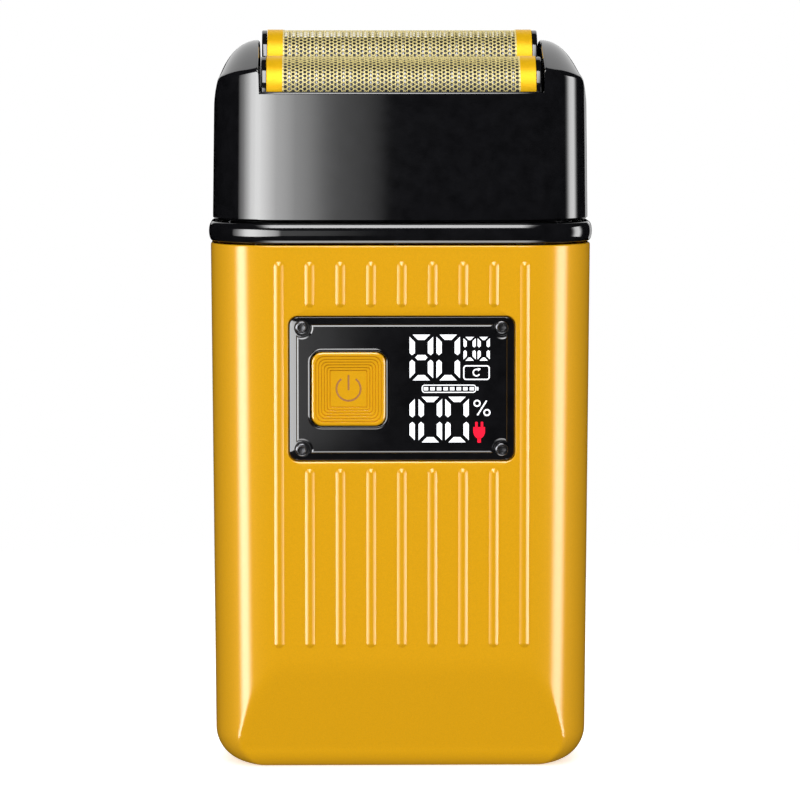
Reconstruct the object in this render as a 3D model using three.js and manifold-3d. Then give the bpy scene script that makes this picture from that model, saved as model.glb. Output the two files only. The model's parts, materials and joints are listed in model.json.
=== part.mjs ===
// Cordless twin-foil shaver: an upright handle with a display panel, a collar, and a pull-off foil head.
// Millimetres, +Z up. The front faces -Y and the origin is at the middle of the base.
import * as THREE from 'three';
import { mergeVertices } from 'three/addons/utils/BufferGeometryUtils.js';
import Module from 'manifold-3d';

const wasm = await Module();
wasm.setup();

// ---------- driving dimensions ----------

const GAP = 0.3; // clearance between neighbouring pieces

// Handle housings
const BODY = { halfW: 31.0, halfD: 15.5, corner: 11.5, top: 85.5, wall: 2.0 };
const TAPER = 0.65; // how much narrower each side is at the base
const BASE_CORNER = 5.7; // radius of the lower left and right corners
const SCOOP = { top: 17, lowY: -12.4, lowZ: 3.2, footY: -9.6 }; // slope under the front face
const REAR_ROLL = 4; // radius between base and back
const SEAM = 0.15; // half of the parting gap between the housings

// Grip ribs
const RIB = { count: 9, pitch: 4.96, halfW: 0.76, faceY: -16.0, top: 82.9, bottom: 20.2 };
const RIB_BREAK = { low: 49.4, high: 75.5 }; // where the inner ribs stop for the panel

// Display panel
const PANEL = { halfW: 18.2, halfH: 11.65, corner: 1.45, z: 62.35, faceY: -15.35, backY: -14.55 };
const PANEL_SCREW = { x: 16.15, z: 9.9, headR: 1.0, shankR: 0.55, headDepth: 0.5, tipY: -11.6 };
const LEDGE_Y = -14.05; // floor of the panel recess
const BUTTON = { x: -8.6, half: 6.05, corner: 1.7, faceY: -15.9, travel: 0.6 };
const DISPLAY = { x: 7.25, halfW: 7.0, halfH: 9.3 };

// Power train
const MOTOR = { y: 1.5, r: 10.2, flat: 7.55, wall: 1.0, bottom: 47.5, top: 75.5, shaftR: 1.0 };
const SHELF = { bottom: 76.2, top: 78.0 }; // chassis shelf that the motor hangs from
const ECCENTRIC = 1.2; // crank throw and half of the cutter stroke
const CELL = { r: 9.1, halfL: 23.0, y: 3.4, z: 24 };
const BOARD = { frontY: -7.6, backY: -6.6 };

// Collar and deck
const COLLAR = { bottom: 85.8, top: 89.0, halfW: 31.3, halfD: 16.0, corner: 12 };
const DECK = { bottom: 86.4, top: 88.2, halfW: 28.1, halfD: 12.6, corner: 8.6 };
const ROD = { r: 1.0, y: 7.5, z: 94.2, halfL: 18 };

// Head
const HEAD = { bottom: 89.3, baseW: 30.7, topW: 30.3, halfD: 14.9, corner: 11.3, wall: 1.6 };
const EAR = { peakX: 23.3, peakZ: 118.4, shoulderZ: 107.5, ridgeZ: 113.8, notchX: 23.0 };
const LIP = { front: 110.2, rear: 114.4 };

// Foils and cutters: one set in front, and one behind it that stands higher
const FOIL = { r: 5.5, thick: 0.4, halfL: 21.7, skirt: 2.9 };
const CUTTER = { r: 4.75, halfL: 19.3, flat: -1.2, blades: 14, bladeT: 0.6 };
const UNITS = [
  { name: 'front', y: -6.9, z: 110.25 },
  { name: 'rear', y: 6.5, z: 114.5 },
];
const FLOAT = 1.2; // how far a foil and its cutter give way
const SPRING = { r: 1.9, wire: 0.35, turns: 3, length: 4.1 };

// ---------- looks of the plain model ----------

const FINISH = {
  gold: { color: 0xe3a51c, roughness: 0.38, metalness: 0.55 },
  gloss: { color: 0x0c0c0e, roughness: 0.12, metalness: 0.0 },
  black: { color: 0x191a1c, roughness: 0.55, metalness: 0.0 },
  foil: { color: 0xd9b064, roughness: 0.3, metalness: 0.9 },
  steel: { color: 0xb9bcc2, roughness: 0.3, metalness: 0.9 },
  rubber: { color: 0x202124, roughness: 0.85, metalness: 0.0 },
  board: { color: 0x1c5a34, roughness: 0.5, metalness: 0.0 },
  nylon: { color: 0xd8d6cf, roughness: 0.5, metalness: 0.0 },
  cell: { color: 0x2f6fb0, roughness: 0.4, metalness: 0.0 },
  red: { color: 0xb02020, roughness: 0.5, metalness: 0.0 },
};

// ---------- solid helpers ----------

function solid(geometry) {
  const plain = geometry.clone();
  plain.deleteAttribute('normal');
  plain.deleteAttribute('uv');
  const merged = mergeVertices(plain, 1e-4);
  const vertProperties = new Float32Array(merged.attributes.position.array);
  const triVerts = new Uint32Array(merged.index.array);
  return new wasm.Manifold(new wasm.Mesh({ numProp: 3, vertProperties, triVerts }));
}

function geometryOf(body) {
  const mesh = body.getMesh();
  const geometry = new THREE.BufferGeometry();
  geometry.setAttribute('position', new THREE.BufferAttribute(new Float32Array(mesh.vertProperties), 3));
  geometry.setIndex(new THREE.BufferAttribute(new Uint32Array(mesh.triVerts), 1));
  geometry.computeVertexNormals();
  return geometry;
}

function extruded(shape, depth, segments) {
  return new THREE.ExtrudeGeometry(shape, { depth, bevelEnabled: false, curveSegments: segments });
}

// Outline in X and Y, standing from z0 to z1
function prismZ(shape, z0, z1, segments = 4) {
  return solid(extruded(shape, z1 - z0, segments).translate(0, 0, z0));
}

// Outline in X and Z, running from y0 to y1
function prismY(shape, y0, y1, segments = 4) {
  return solid(extruded(shape, y1 - y0, segments).rotateX(Math.PI / 2).translate(0, y1, 0));
}

// Outline in Y and Z, running from x0 to x1
function prismX(shape, x0, x1, segments = 4) {
  const axes = new THREE.Matrix4().makeBasis(
    new THREE.Vector3(0, 1, 0),
    new THREE.Vector3(0, 0, 1),
    new THREE.Vector3(1, 0, 0),
  );
  return solid(extruded(shape, x1 - x0, segments).applyMatrix4(axes).translate(x0, 0, 0));
}

function box(x0, x1, y0, y1, z0, z1) {
  const geometry = new THREE.BoxGeometry(x1 - x0, y1 - y0, z1 - z0);
  return solid(geometry.translate((x0 + x1) / 2, (y0 + y1) / 2, (z0 + z1) / 2));
}

function rodX(r, x0, x1, y, z, sides = 12) {
  const geometry = new THREE.CylinderGeometry(r, r, x1 - x0, sides).rotateZ(Math.PI / 2);
  return solid(geometry.translate((x0 + x1) / 2, y, z));
}

function rodY(r, y0, y1, x, z, sides = 12) {
  const geometry = new THREE.CylinderGeometry(r, r, y1 - y0, sides);
  return solid(geometry.translate(x, (y0 + y1) / 2, z));
}

function rodZ(r, z0, z1, x, y, sides = 12) {
  const geometry = new THREE.CylinderGeometry(r, r, z1 - z0, sides).rotateX(Math.PI / 2);
  return solid(geometry.translate(x, y, (z0 + z1) / 2));
}

function joined(...bodies) {
  return bodies.reduce((whole, body) => whole.add(body));
}

function cut(body, ...tools) {
  return tools.reduce((left, tool) => left.subtract(tool), body);
}

// ---------- outlines ----------

function roundedRect(halfW, halfH, r, cx = 0, cy = 0) {
  const shape = new THREE.Shape();
  shape.moveTo(cx + halfW, cy + halfH - r);
  shape.absarc(cx + halfW - r, cy + halfH - r, r, 0, Math.PI / 2);
  shape.absarc(cx - halfW + r, cy + halfH - r, r, Math.PI / 2, Math.PI);
  shape.absarc(cx - halfW + r, cy - halfH + r, r, Math.PI, 1.5 * Math.PI);
  shape.absarc(cx + halfW - r, cy - halfH + r, r, 1.5 * Math.PI, 2 * Math.PI);
  shape.closePath();
  return shape;
}

function polygon(points) {
  return new THREE.Shape(points.map(([a, b]) => new THREE.Vector2(a, b)));
}

function mirrored(points) {
  return polygon([...points, ...points.map(([a, b]) => [-a, b]).reverse()]);
}

// Points of a circular or elliptical arc, both ends included
function arc(cx, cy, rx, ry, from, to, steps) {
  const points = [];
  for (let i = 0; i <= steps; i += 1) {
    const angle = from + ((to - from) * i) / steps;
    points.push([cx + rx * Math.cos(angle), cy + ry * Math.sin(angle)]);
  }
  return points;
}

// ---------- handle ----------

// The handle's outer form, or with an inset the room inside it
function handleForm(inset, top) {
  const plan = roundedRect(BODY.halfW - inset, BODY.halfD - inset, BODY.corner - inset);
  const foot = BODY.halfW - TAPER - inset;
  const r = BASE_CORNER - inset;
  const front = mirrored([
    ...arc(foot - r, inset + r, r, r, 1.5 * Math.PI, 2 * Math.PI, 4),
    [BODY.halfW - inset, BODY.top],
    [BODY.halfW - inset, top],
  ]);
  const back = BODY.halfD - inset;
  const roll = REAR_ROLL - inset;
  const side = polygon([
    [-back, top],
    [-back, SCOOP.top + inset / 2],
    [SCOOP.lowY + inset, SCOOP.lowZ + inset / 2],
    [SCOOP.footY + inset / 2, inset],
    ...arc(back - roll, inset + roll, roll, roll, 1.5 * Math.PI, 2 * Math.PI, 3),
    [back, top],
  ]);
  const reach = BODY.halfW + 5;
  return prismZ(plan, inset, top, 5)
    .intersect(prismY(front, -reach, reach))
    .intersect(prismX(side, -reach, reach));
}

function housingShell() {
  return cut(handleForm(0, BODY.top), handleForm(BODY.wall, BODY.top + 4));
}

function ribOutlines() {
  const outlines = [];
  const middle = (RIB.count - 1) / 2;
  for (let i = 0; i < RIB.count; i += 1) {
    const x = (i - middle) * RIB.pitch;
    const outer = Math.abs(i - middle) === middle;
    const spans = outer
      ? [[RIB.bottom, RIB.top]]
      : [[RIB.bottom, RIB_BREAK.low], [RIB_BREAK.high, RIB.top]];
    for (const [low, high] of spans) {
      const half = (high - low) / 2;
      outlines.push(roundedRect(RIB.halfW, half, RIB.halfW * 0.98, x, (low + high) / 2));
    }
  }
  return outlines;
}

const CORNERS = [
  ['top_left', -1, 1],
  ['top_right', 1, 1],
  ['bottom_left', -1, -1],
  ['bottom_right', 1, -1],
];
const HOUSING_SCREW = { x: 21, z: 9.2, shankR: 1.0, bossR: 2.6, headR: 1.9, headY: 14.2, tipY: -5.4 };

// Cross-shaped way through the housing behind the panel; its four corners hold the screws
function panelWindow(y0, y1, grow) {
  const wide = roundedRect(16.9 + grow, 7.9 + grow, 1, 0, PANEL.z);
  const tall = roundedRect(14.5 + grow, 10.6 + grow, 1, 0, PANEL.z);
  return prismY(wide, y0, y1, 1).add(prismY(tall, y0, y1, 1));
}

function frontHousing() {
  let shell = housingShell().intersect(box(-40, 40, -20, -SEAM, -5, 95));
  for (const outline of ribOutlines()) {
    shell = shell.add(prismY(outline, RIB.faceY, -14.6, 1));
  }
  const pad = prismY(roundedRect(20.2, 13.2, 2, 0, PANEL.z), -13.6, -12.6, 3);
  const recess = roundedRect(PANEL.halfW + 0.15, PANEL.halfH + 0.15, PANEL.corner, 0, PANEL.z);
  shell = cut(shell.add(pad), prismY(recess, -17, LEDGE_Y, 4), panelWindow(-17, -10, 0));
  for (const [, sx, sz] of CORNERS) {
    const x = sx * PANEL_SCREW.x;
    const z = PANEL.z + sz * PANEL_SCREW.z;
    shell = shell.add(rodY(1.6, -13.4, -10.9, x, z, 12));
    shell = shell.subtract(rodY(PANEL_SCREW.shankR + 0.2, -16, -11.2, x, z, 12));
  }
  for (const side of [-1, 1]) {
    const x = side * HOUSING_SCREW.x;
    shell = shell.add(rodY(HOUSING_SCREW.bossR, -12.2, -SEAM, x, HOUSING_SCREW.z));
    shell = shell.subtract(rodY(HOUSING_SCREW.shankR + 0.2, -6, 1, x, HOUSING_SCREW.z));
  }
  return shell.subtract(prismZ(roundedRect(4.9, 2.0, 1.95, 0, USB.y), -1, 5, 5));
}

function rearHousing() {
  let shell = housingShell().intersect(box(-40, 40, SEAM, 20, -5, 95));
  for (const side of [-1, 1]) {
    const x = side * HOUSING_SCREW.x;
    const z = HOUSING_SCREW.z;
    shell = shell.add(rodY(HOUSING_SCREW.bossR, SEAM, 14, x, z));
    shell = shell.subtract(rodY(HOUSING_SCREW.shankR + 0.3, -1, 16, x, z));
    shell = shell.subtract(rodY(HOUSING_SCREW.headR + 0.25, HOUSING_SCREW.headY - 0.1, 17, x, z));
  }
  return shell;
}

function housingScrew(side) {
  const x = side * HOUSING_SCREW.x;
  const z = HOUSING_SCREW.z;
  const head = rodY(HOUSING_SCREW.headR, HOUSING_SCREW.headY, 15.4, x, z);
  const shank = rodY(HOUSING_SCREW.shankR, HOUSING_SCREW.tipY, 14.6, x, z, 12);
  return head.add(shank).subtract(rodY(0.9, 14.8, 16, x, z, 6));
}

// ---------- panel, button and display ----------

function displayPanel() {
  const plate = roundedRect(PANEL.halfW, PANEL.halfH, PANEL.corner, 0, PANEL.z);
  const hole = roundedRect(BUTTON.half + 0.25, BUTTON.half + 0.25, BUTTON.corner, BUTTON.x, PANEL.z);
  let panel = prismY(plate, PANEL.faceY, PANEL.backY, 4).subtract(prismY(hole, -17, -13, 4));
  for (const [, sx, sz] of CORNERS) {
    const x = sx * PANEL_SCREW.x;
    const z = PANEL.z + sz * PANEL_SCREW.z;
    panel = panel.subtract(rodY(PANEL_SCREW.shankR + 0.2, -17, -13, x, z, 12));
    panel = panel.subtract(rodY(PANEL_SCREW.headR + 0.15, -17, PANEL.faceY + PANEL_SCREW.headDepth, x, z));
  }
  return panel;
}

function panelGasket() {
  const outer = roundedRect(PANEL.halfW - 0.3, PANEL.halfH - 0.3, PANEL.corner, 0, PANEL.z);
  let gasket = prismY(outer, PANEL.backY + 0.05, LEDGE_Y - 0.05, 3).subtract(panelWindow(-17, -12, 0.1));
  for (const [, sx, sz] of CORNERS) {
    const z = PANEL.z + sz * PANEL_SCREW.z;
    gasket = gasket.subtract(rodY(PANEL_SCREW.shankR + 0.2, -17, -13, sx * PANEL_SCREW.x, z, 12));
  }
  return gasket;
}

function panelScrew(sx, sz) {
  const x = sx * PANEL_SCREW.x;
  const z = PANEL.z + sz * PANEL_SCREW.z;
  const seat = PANEL.faceY + PANEL_SCREW.headDepth - 0.05;
  const head = rodY(PANEL_SCREW.headR, PANEL.faceY + 0.02, seat, x, z);
  const shank = rodY(PANEL_SCREW.shankR, seat - 0.2, PANEL_SCREW.tipY, x, z, 10);
  return head.add(shank).subtract(rodY(0.5, -16, seat - 0.2, x, z, 6));
}

// Square button with steps that fall towards its middle, a flange behind the panel and a stem
function powerButton() {
  const square = (half, corner) => roundedRect(half, half, corner, BUTTON.x, PANEL.z);
  let button = prismY(square(BUTTON.half, BUTTON.corner), BUTTON.faceY, -14.2, 4);
  button = button.add(prismY(square(BUTTON.half + 0.6, BUTTON.corner), -14.25, -13.4, 4));
  button = button.add(rodY(2.0, -13.5, -12.0, BUTTON.x, PANEL.z));
  for (let step = 1; step <= 3; step += 1) {
    const half = BUTTON.half - step;
    const corner = BUTTON.corner - 0.35 * step;
    button = button.subtract(prismY(square(half, corner), -17, BUTTON.faceY + 0.18 * step, 2));
  }
  return button;
}

function displayModule() {
  const face = roundedRect(DISPLAY.halfW, DISPLAY.halfH, 0.5, DISPLAY.x, PANEL.z);
  return prismY(face, -13.9, -10.8, 2);
}

function displayBoard() {
  return prismY(roundedRect(17.8, 12.6, 1, 0, PANEL.z), -10.6, -9.6, 3);
}

function powerSwitch() {
  const base = box(BUTTON.x - 2.6, BUTTON.x + 2.6, -11.15, -10.75, PANEL.z - 2.6, PANEL.z + 2.6);
  return base.add(rodY(1.2, -11.3, -11.0, BUTTON.x, PANEL.z, 12));
}

function displayRibbon() {
  const bend = polygon([
    [-9.3, 53], [-9.3, 47], [-8.1, 44.8], [-8.1, 38.5],
    [-7.85, 38.5], [-7.85, 44.9], [-9.05, 47.1], [-9.05, 53],
  ]);
  return prismX(bend, -4, 4);
}

// ---------- chassis, cell and boards ----------

const RAIL = { inner: 26.2, outer: 27.6, bottom: 14 };
const DECK_SCREW = { x: 21.5, y: 0, r: 0.9 };
const MOTOR_SCREW_X = 6.5;

function chassis() {
  let frame = box(-RAIL.outer, RAIL.outer, -5.4, 8, SHELF.bottom, SHELF.top);
  for (const side of [-1, 1]) {
    const [x0, x1] = side < 0 ? [-RAIL.outer, -RAIL.inner] : [RAIL.inner, RAIL.outer];
    frame = frame.add(box(x0, x1, -3, 7, RAIL.bottom, SHELF.top));
    frame = frame.add(rodZ(2.4, SHELF.bottom, DECK.bottom - GAP, side * DECK_SCREW.x, DECK_SCREW.y));
    frame = frame.subtract(rodZ(DECK_SCREW.r + 0.2, 79, 95, side * DECK_SCREW.x, DECK_SCREW.y, 12));
  }
  frame = frame.add(box(-RAIL.outer + 0.5, RAIL.outer - 0.5, -3, 7, 36.9, 38.5));
  frame = frame.subtract(rodZ(3.6, 70, 90, 0, MOTOR.y, 20));
  for (const side of [-1, 1]) {
    frame = frame.subtract(rodZ(0.9, 70, 90, side * MOTOR_SCREW_X, MOTOR.y, 12));
  }
  return frame;
}

function batteryCell() {
  const can = rodX(CELL.r, -CELL.halfL, CELL.halfL - 1.2, CELL.y, CELL.z, 28);
  return can.add(rodX(2.8, CELL.halfL - 1.5, CELL.halfL, CELL.y, CELL.z));
}

const USB = { y: -4.7, halfW: 4.47, halfD: 1.63, bottom: 1.2, top: 8.5 };

function mainBoard() {
  let board = box(-16, 16, BOARD.frontY, BOARD.backY, 6, 43);
  board = board.add(box(-12, -5, BOARD.frontY - 1.2, BOARD.frontY + 0.1, 24, 31));
  board = board.add(box(6, 11, BOARD.frontY - 2.2, BOARD.frontY + 0.1, 14, 19));
  return board.add(box(-4.5, 4.5, BOARD.frontY - 1.0, BOARD.frontY + 0.1, 33.5, 36.5));
}

function usbShell() {
  const outer = prismZ(roundedRect(USB.halfW, USB.halfD, USB.halfD * 0.98, 0, USB.y), USB.bottom, USB.top, 5);
  const inner = roundedRect(USB.halfW - 0.35, USB.halfD - 0.35, (USB.halfD - 0.35) * 0.98, 0, USB.y);
  return outer.subtract(prismZ(inner, 0, USB.top - 0.5, 5));
}

function usbTongue() {
  return box(-3.35, 3.35, USB.y - 0.35, USB.y + 0.35, 2.6, 7.8);
}

function usbSeal() {
  const outer = prismZ(roundedRect(6.2, 3.0, 2.9, 0, USB.y), 2.3, 3.3, 5);
  const inner = roundedRect(USB.halfW + 0.15, USB.halfD + 0.15, USB.halfD, 0, USB.y);
  return outer.subtract(prismZ(inner, 0, 6, 5));
}

function lead(points, r = 0.5) {
  const curve = new THREE.CatmullRomCurve3(points.map(([x, y, z]) => new THREE.Vector3(x, y, z)));
  const section = polygon(arc(0, 0, r, r, 0, 1.75 * Math.PI, 7));
  return solid(new THREE.ExtrudeGeometry(section, { steps: 12, extrudePath: curve, bevelEnabled: false }));
}

function batteryLead(side) {
  return lead([
    [side * 23.9, 3.4, 24], [side * 24.6, 0, 30], [side * 23.6, -4.2, 34.5],
    [side * 19, -5.5, 37.5], [side * 13, -5.6, 40],
  ]);
}

function motorLead(side) {
  return lead([
    [side * 5, 1.5, 43.6], [side * 5.4, 0, 41.4], [side * 7, -3.4, 40.6], [side * 8.5, -5.6, 42],
  ]);
}

// ---------- motor and crank ----------

function motorSection(r, flat) {
  const edge = Math.asin(flat / r);
  return polygon([
    ...arc(0, MOTOR.y, r, r, -edge, edge, 5),
    ...arc(0, MOTOR.y, r, r, Math.PI - edge, Math.PI + edge, 5),
  ]);
}

function motorCan() {
  let can = prismZ(motorSection(MOTOR.r, MOTOR.flat), MOTOR.bottom, MOTOR.top);
  can = can.add(rodZ(3.2, MOTOR.top - 0.5, MOTOR.top + 1.8, 0, MOTOR.y, 20));
  const room = motorSection(MOTOR.r - MOTOR.wall, MOTOR.flat - MOTOR.wall);
  can = can.subtract(prismZ(room, MOTOR.bottom - 1, MOTOR.top - MOTOR.wall));
  can = can.subtract(rodZ(2.5, 70, 80, 0, MOTOR.y, 24));
  for (const side of [-1, 1]) {
    can = can.subtract(rodZ(0.75, 74, 76, side * MOTOR_SCREW_X, MOTOR.y, 10));
  }
  return can;
}

function motorEndBell() {
  const bell = prismZ(motorSection(MOTOR.r - 0.3, MOTOR.flat - 0.3), 44.3, MOTOR.bottom - 0.1);
  return bell.subtract(rodZ(1.25, 45.2, 50, 0, MOTOR.y, 20));
}

function motorBush() {
  return rodZ(2.3, 75, 77, 0, MOTOR.y, 24).subtract(rodZ(MOTOR.shaftR + 0.1, 70, 80, 0, MOTOR.y, 24));
}

function motorScrew(side) {
  const x = side * MOTOR_SCREW_X;
  const head = rodZ(1.5, SHELF.top + 0.05, SHELF.top + 1.1, x, MOTOR.y, 14);
  return head.add(rodZ(0.6, 75, SHELF.top + 0.5, x, MOTOR.y, 10));
}

function motorShaft() {
  return rodZ(MOTOR.shaftR, 45.6, 90.6, 0, MOTOR.y, 20);
}

function motorArmature() {
  let stack = rodZ(6.0, 53, 71, 0, MOTOR.y, 24);
  stack = stack.add(rodZ(2.9, 49.2, 53.5, 0, MOTOR.y, 16));
  for (let i = 0; i < 3; i += 1) {
    const slot = solid(new THREE.BoxGeometry(4, 1.0, 30).translate(5.4, 0, 0).rotateZ((i * 2 * Math.PI) / 3));
    stack = stack.subtract(solid(geometryOf(slot).translate(0, MOTOR.y, 62)));
  }
  return stack.subtract(rodZ(MOTOR.shaftR + 0.15, 40, 80, 0, MOTOR.y, 20));
}

function eccentricCam() {
  let cam = rodZ(3.2, 89.3, 91.2, 0, MOTOR.y, 20);
  cam = cam.add(rodZ(0.9, 91, 95, 0, MOTOR.y + ECCENTRIC, 14));
  return cam.subtract(rodZ(MOTOR.shaftR + 0.1, 88, 90.8, 0, MOTOR.y, 20));
}

// ---------- collar and deck ----------

function collar() {
  const band = (inset, z0, z1) =>
    prismZ(roundedRect(COLLAR.halfW - inset, COLLAR.halfD - inset, COLLAR.corner - inset), z0, z1, 5);
  const ring = band(0, COLLAR.bottom + 0.8, COLLAR.top - 0.8).add(band(0.35, COLLAR.bottom, COLLAR.top));
  const bore = roundedRect(DECK.halfW + GAP, DECK.halfD + GAP, DECK.corner + GAP);
  return ring.subtract(prismZ(bore, 80, 95));
}

function deck() {
  let plate = prismZ(roundedRect(DECK.halfW, DECK.halfD, DECK.corner), DECK.bottom, DECK.top);
  const spigot = prismZ(roundedRect(27.5, 12.2, 8.2), DECK.top - 0.2, 93.6);
  plate = plate.add(spigot.subtract(prismZ(roundedRect(26.1, 10.8, 6.8), DECK.top, 100)));
  for (const sx of [-1, 1]) {
    for (const y of [-ROD.y, ROD.y]) {
      const [x0, x1] = sx < 0 ? [-18.2, -15.8] : [15.8, 18.2];
      plate = plate.add(box(x0, x1, y - 2, y + 2, DECK.top - 0.2, ROD.z + 2));
    }
    plate = plate.subtract(rodZ(DECK_SCREW.r + 0.2, 80, 95, sx * DECK_SCREW.x, DECK_SCREW.y, 12));
  }
  for (const y of [-ROD.y, ROD.y]) {
    plate = plate.subtract(rodX(ROD.r + 0.2, -22, 22, y, ROD.z));
  }
  return plate.subtract(rodZ(3.6, 80, 95, 0, MOTOR.y, 20));
}

function deckSeal() {
  const ring = rodZ(3.3, DECK.bottom + 0.2, DECK.top, 0, MOTOR.y, 20);
  return ring.subtract(rodZ(MOTOR.shaftR + 0.15, 80, 95, 0, MOTOR.y, 20));
}

function deckScrew(side) {
  const x = side * DECK_SCREW.x;
  const head = rodZ(1.8, DECK.top + 0.05, DECK.top + 1.3, x, DECK_SCREW.y, 16);
  const shank = rodZ(DECK_SCREW.r, 80, DECK.top + 0.5, x, DECK_SCREW.y, 10);
  return head.add(shank).subtract(rodZ(0.8, DECK.top + 0.7, 92, x, DECK_SCREW.y, 6));
}

function guideRod(y) {
  return rodX(ROD.r, -ROD.halfL, ROD.halfL, y, ROD.z);
}

function headCatch(side) {
  const leaf = polygon([
    [27.75, 88.5], [28.05, 88.5], [28.05, 91.2], [28.6, 92.0], [28.05, 92.8], [28.05, 93.4], [27.75, 93.4],
  ]);
  const tongue = prismY(leaf, -3, 3);
  return side > 0 ? tongue : tongue.mirror([1, 0, 0]);
}

// ---------- oscillating drive ----------

const POST_R = 1.0;
const PLATFORM = UNITS.map((unit) => unit.z - 5.35 - SPRING.length);

function driveBridge() {
  const plate = box(-9, 9, -9.9, 9.5, 96, 97.6);
  const steps = UNITS.map((unit, i) => box(-4, 4, unit.y - 3, unit.y + 3, 97.5, PLATFORM[i]));
  const sleeves = [-ROD.y, ROD.y].map((y) => box(-9, 9, y - 1.9, y + 1.9, 92.4, 96.1));
  const yoke = box(-5.6, 5.6, -3.4, 5.2, 91.8, 96.1);
  let bridge = joined(plate, ...steps, ...sleeves, yoke);
  const slot = roundedRect(3.5, 2.4, 0.5, 0, MOTOR.y);
  bridge = bridge.subtract(prismZ(slot, 90, 95.5, 2));
  for (const y of [-ROD.y, ROD.y]) {
    bridge = bridge.subtract(rodX(ROD.r + 0.15, -20, 20, y, ROD.z));
  }
  UNITS.forEach((unit, i) => {
    bridge = bridge.subtract(rodZ(POST_R + 0.2, 97.6, PLATFORM[i] + 1, 0, unit.y, 14));
  });
  return bridge;
}

function drivePost(unit) {
  return rodZ(POST_R, 97.8, unit.z - 3.2, 0, unit.y, 14);
}

class Helix extends THREE.Curve {
  constructor(radius, height, turns, x, y, z) {
    super();
    Object.assign(this, { radius, height, turns, x, y, z });
  }

  getPoint(t, target = new THREE.Vector3()) {
    const angle = 2 * Math.PI * this.turns * t;
    const cos = this.radius * Math.cos(angle);
    const sin = this.radius * Math.sin(angle);
    return target.set(this.x + cos, this.y + sin, this.z + this.height * t);
  }
}

function cutterSpring(unit, platform) {
  const low = platform + 0.1 + SPRING.wire;
  const height = SPRING.length - 2 * SPRING.wire - 0.1;
  const path = new Helix(SPRING.r, height, SPRING.turns, 0, unit.y, low);
  const wire = polygon(arc(0, 0, SPRING.wire, SPRING.wire, 0, 1.6 * Math.PI, 4));
  return solid(new THREE.ExtrudeGeometry(wire, { steps: 27, extrudePath: path, bevelEnabled: false }));
}

// ---------- cutters ----------

function cutterBlades(unit) {
  const edge = Math.asin(CUTTER.flat / CUTTER.r);
  const outline = polygon(arc(unit.y, unit.z, CUTTER.r, CUTTER.r, edge, Math.PI - edge, 10));
  const pitch = (2 * CUTTER.halfL - CUTTER.bladeT) / (CUTTER.blades - 1);
  let blades = box(-CUTTER.halfL, CUTTER.halfL, unit.y - 1.6, unit.y + 1.6, unit.z + CUTTER.flat, unit.z + 1.4);
  for (let i = 0; i < CUTTER.blades; i += 1) {
    const x = -CUTTER.halfL + i * pitch;
    blades = blades.add(prismX(outline, x, x + CUTTER.bladeT));
  }
  return blades;
}

function cutterCarrier(unit) {
  const bar = box(-CUTTER.halfL, CUTTER.halfL, unit.y - 3.7, unit.y + 3.7, unit.z - 3.6, unit.z - 1.45);
  const hub = rodZ(3.0, unit.z - 5.2, unit.z - 3.5, 0, unit.y, 18);
  return bar.add(hub).subtract(rodZ(POST_R + 0.3, 80, unit.z - 1.9, 0, unit.y, 16));
}

// ---------- foils ----------

function foilSheet(unit) {
  const inner = FOIL.r - FOIL.thick;
  const outline = polygon([
    [unit.y + FOIL.r, unit.z - FOIL.skirt],
    ...arc(unit.y, unit.z, FOIL.r, FOIL.r, 0, Math.PI, 14),
    [unit.y - FOIL.r, unit.z - FOIL.skirt],
    [unit.y - inner, unit.z - FOIL.skirt],
    ...arc(unit.y, unit.z, inner, inner, Math.PI, 0, 14),
    [unit.y + inner, unit.z - FOIL.skirt],
  ]);
  return prismX(outline, -FOIL.halfL, FOIL.halfL);
}

// Rails along the skirts, arched plates past the foil's ends, and a tab on each plate under the ear ledge
function foilFrame(unit) {
  const { y, z } = unit;
  const end = FOIL.halfL + 0.15;
  const plate = end + 0.8;
  const arch = polygon([
    [y + FOIL.r, z - 5.6],
    ...arc(y, z, FOIL.r, FOIL.r, 0, Math.PI, 14),
    [y - FOIL.r, z - 5.6],
  ]);
  let frame = box(-plate, plate, y - 6.0, y - 5.65, z - 4.6, z - 1.0);
  frame = frame.add(box(-plate, plate, y + 5.65, y + 6.0, z - 4.6, z - 1.0));
  for (const side of [-1, 1]) {
    const span = (a, b) => (side < 0 ? [-b, -a] : [a, b]);
    frame = frame.add(box(...span(20.95, plate), y - 6.0, y + 6.0, z - 4.6, z - 3.2));
    frame = frame.add(prismX(arch, ...span(end, plate)));
    frame = frame.add(box(...span(end, 24.6), y - 2, y + 2, z - 5.6, z - 4.6));
  }
  return frame;
}

// ---------- head ----------

const BOSS = { x: 26.4, r: 2.1 };
const LEDGE = 4.3; // the ear ledge sits this far under each foil's centre

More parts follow.
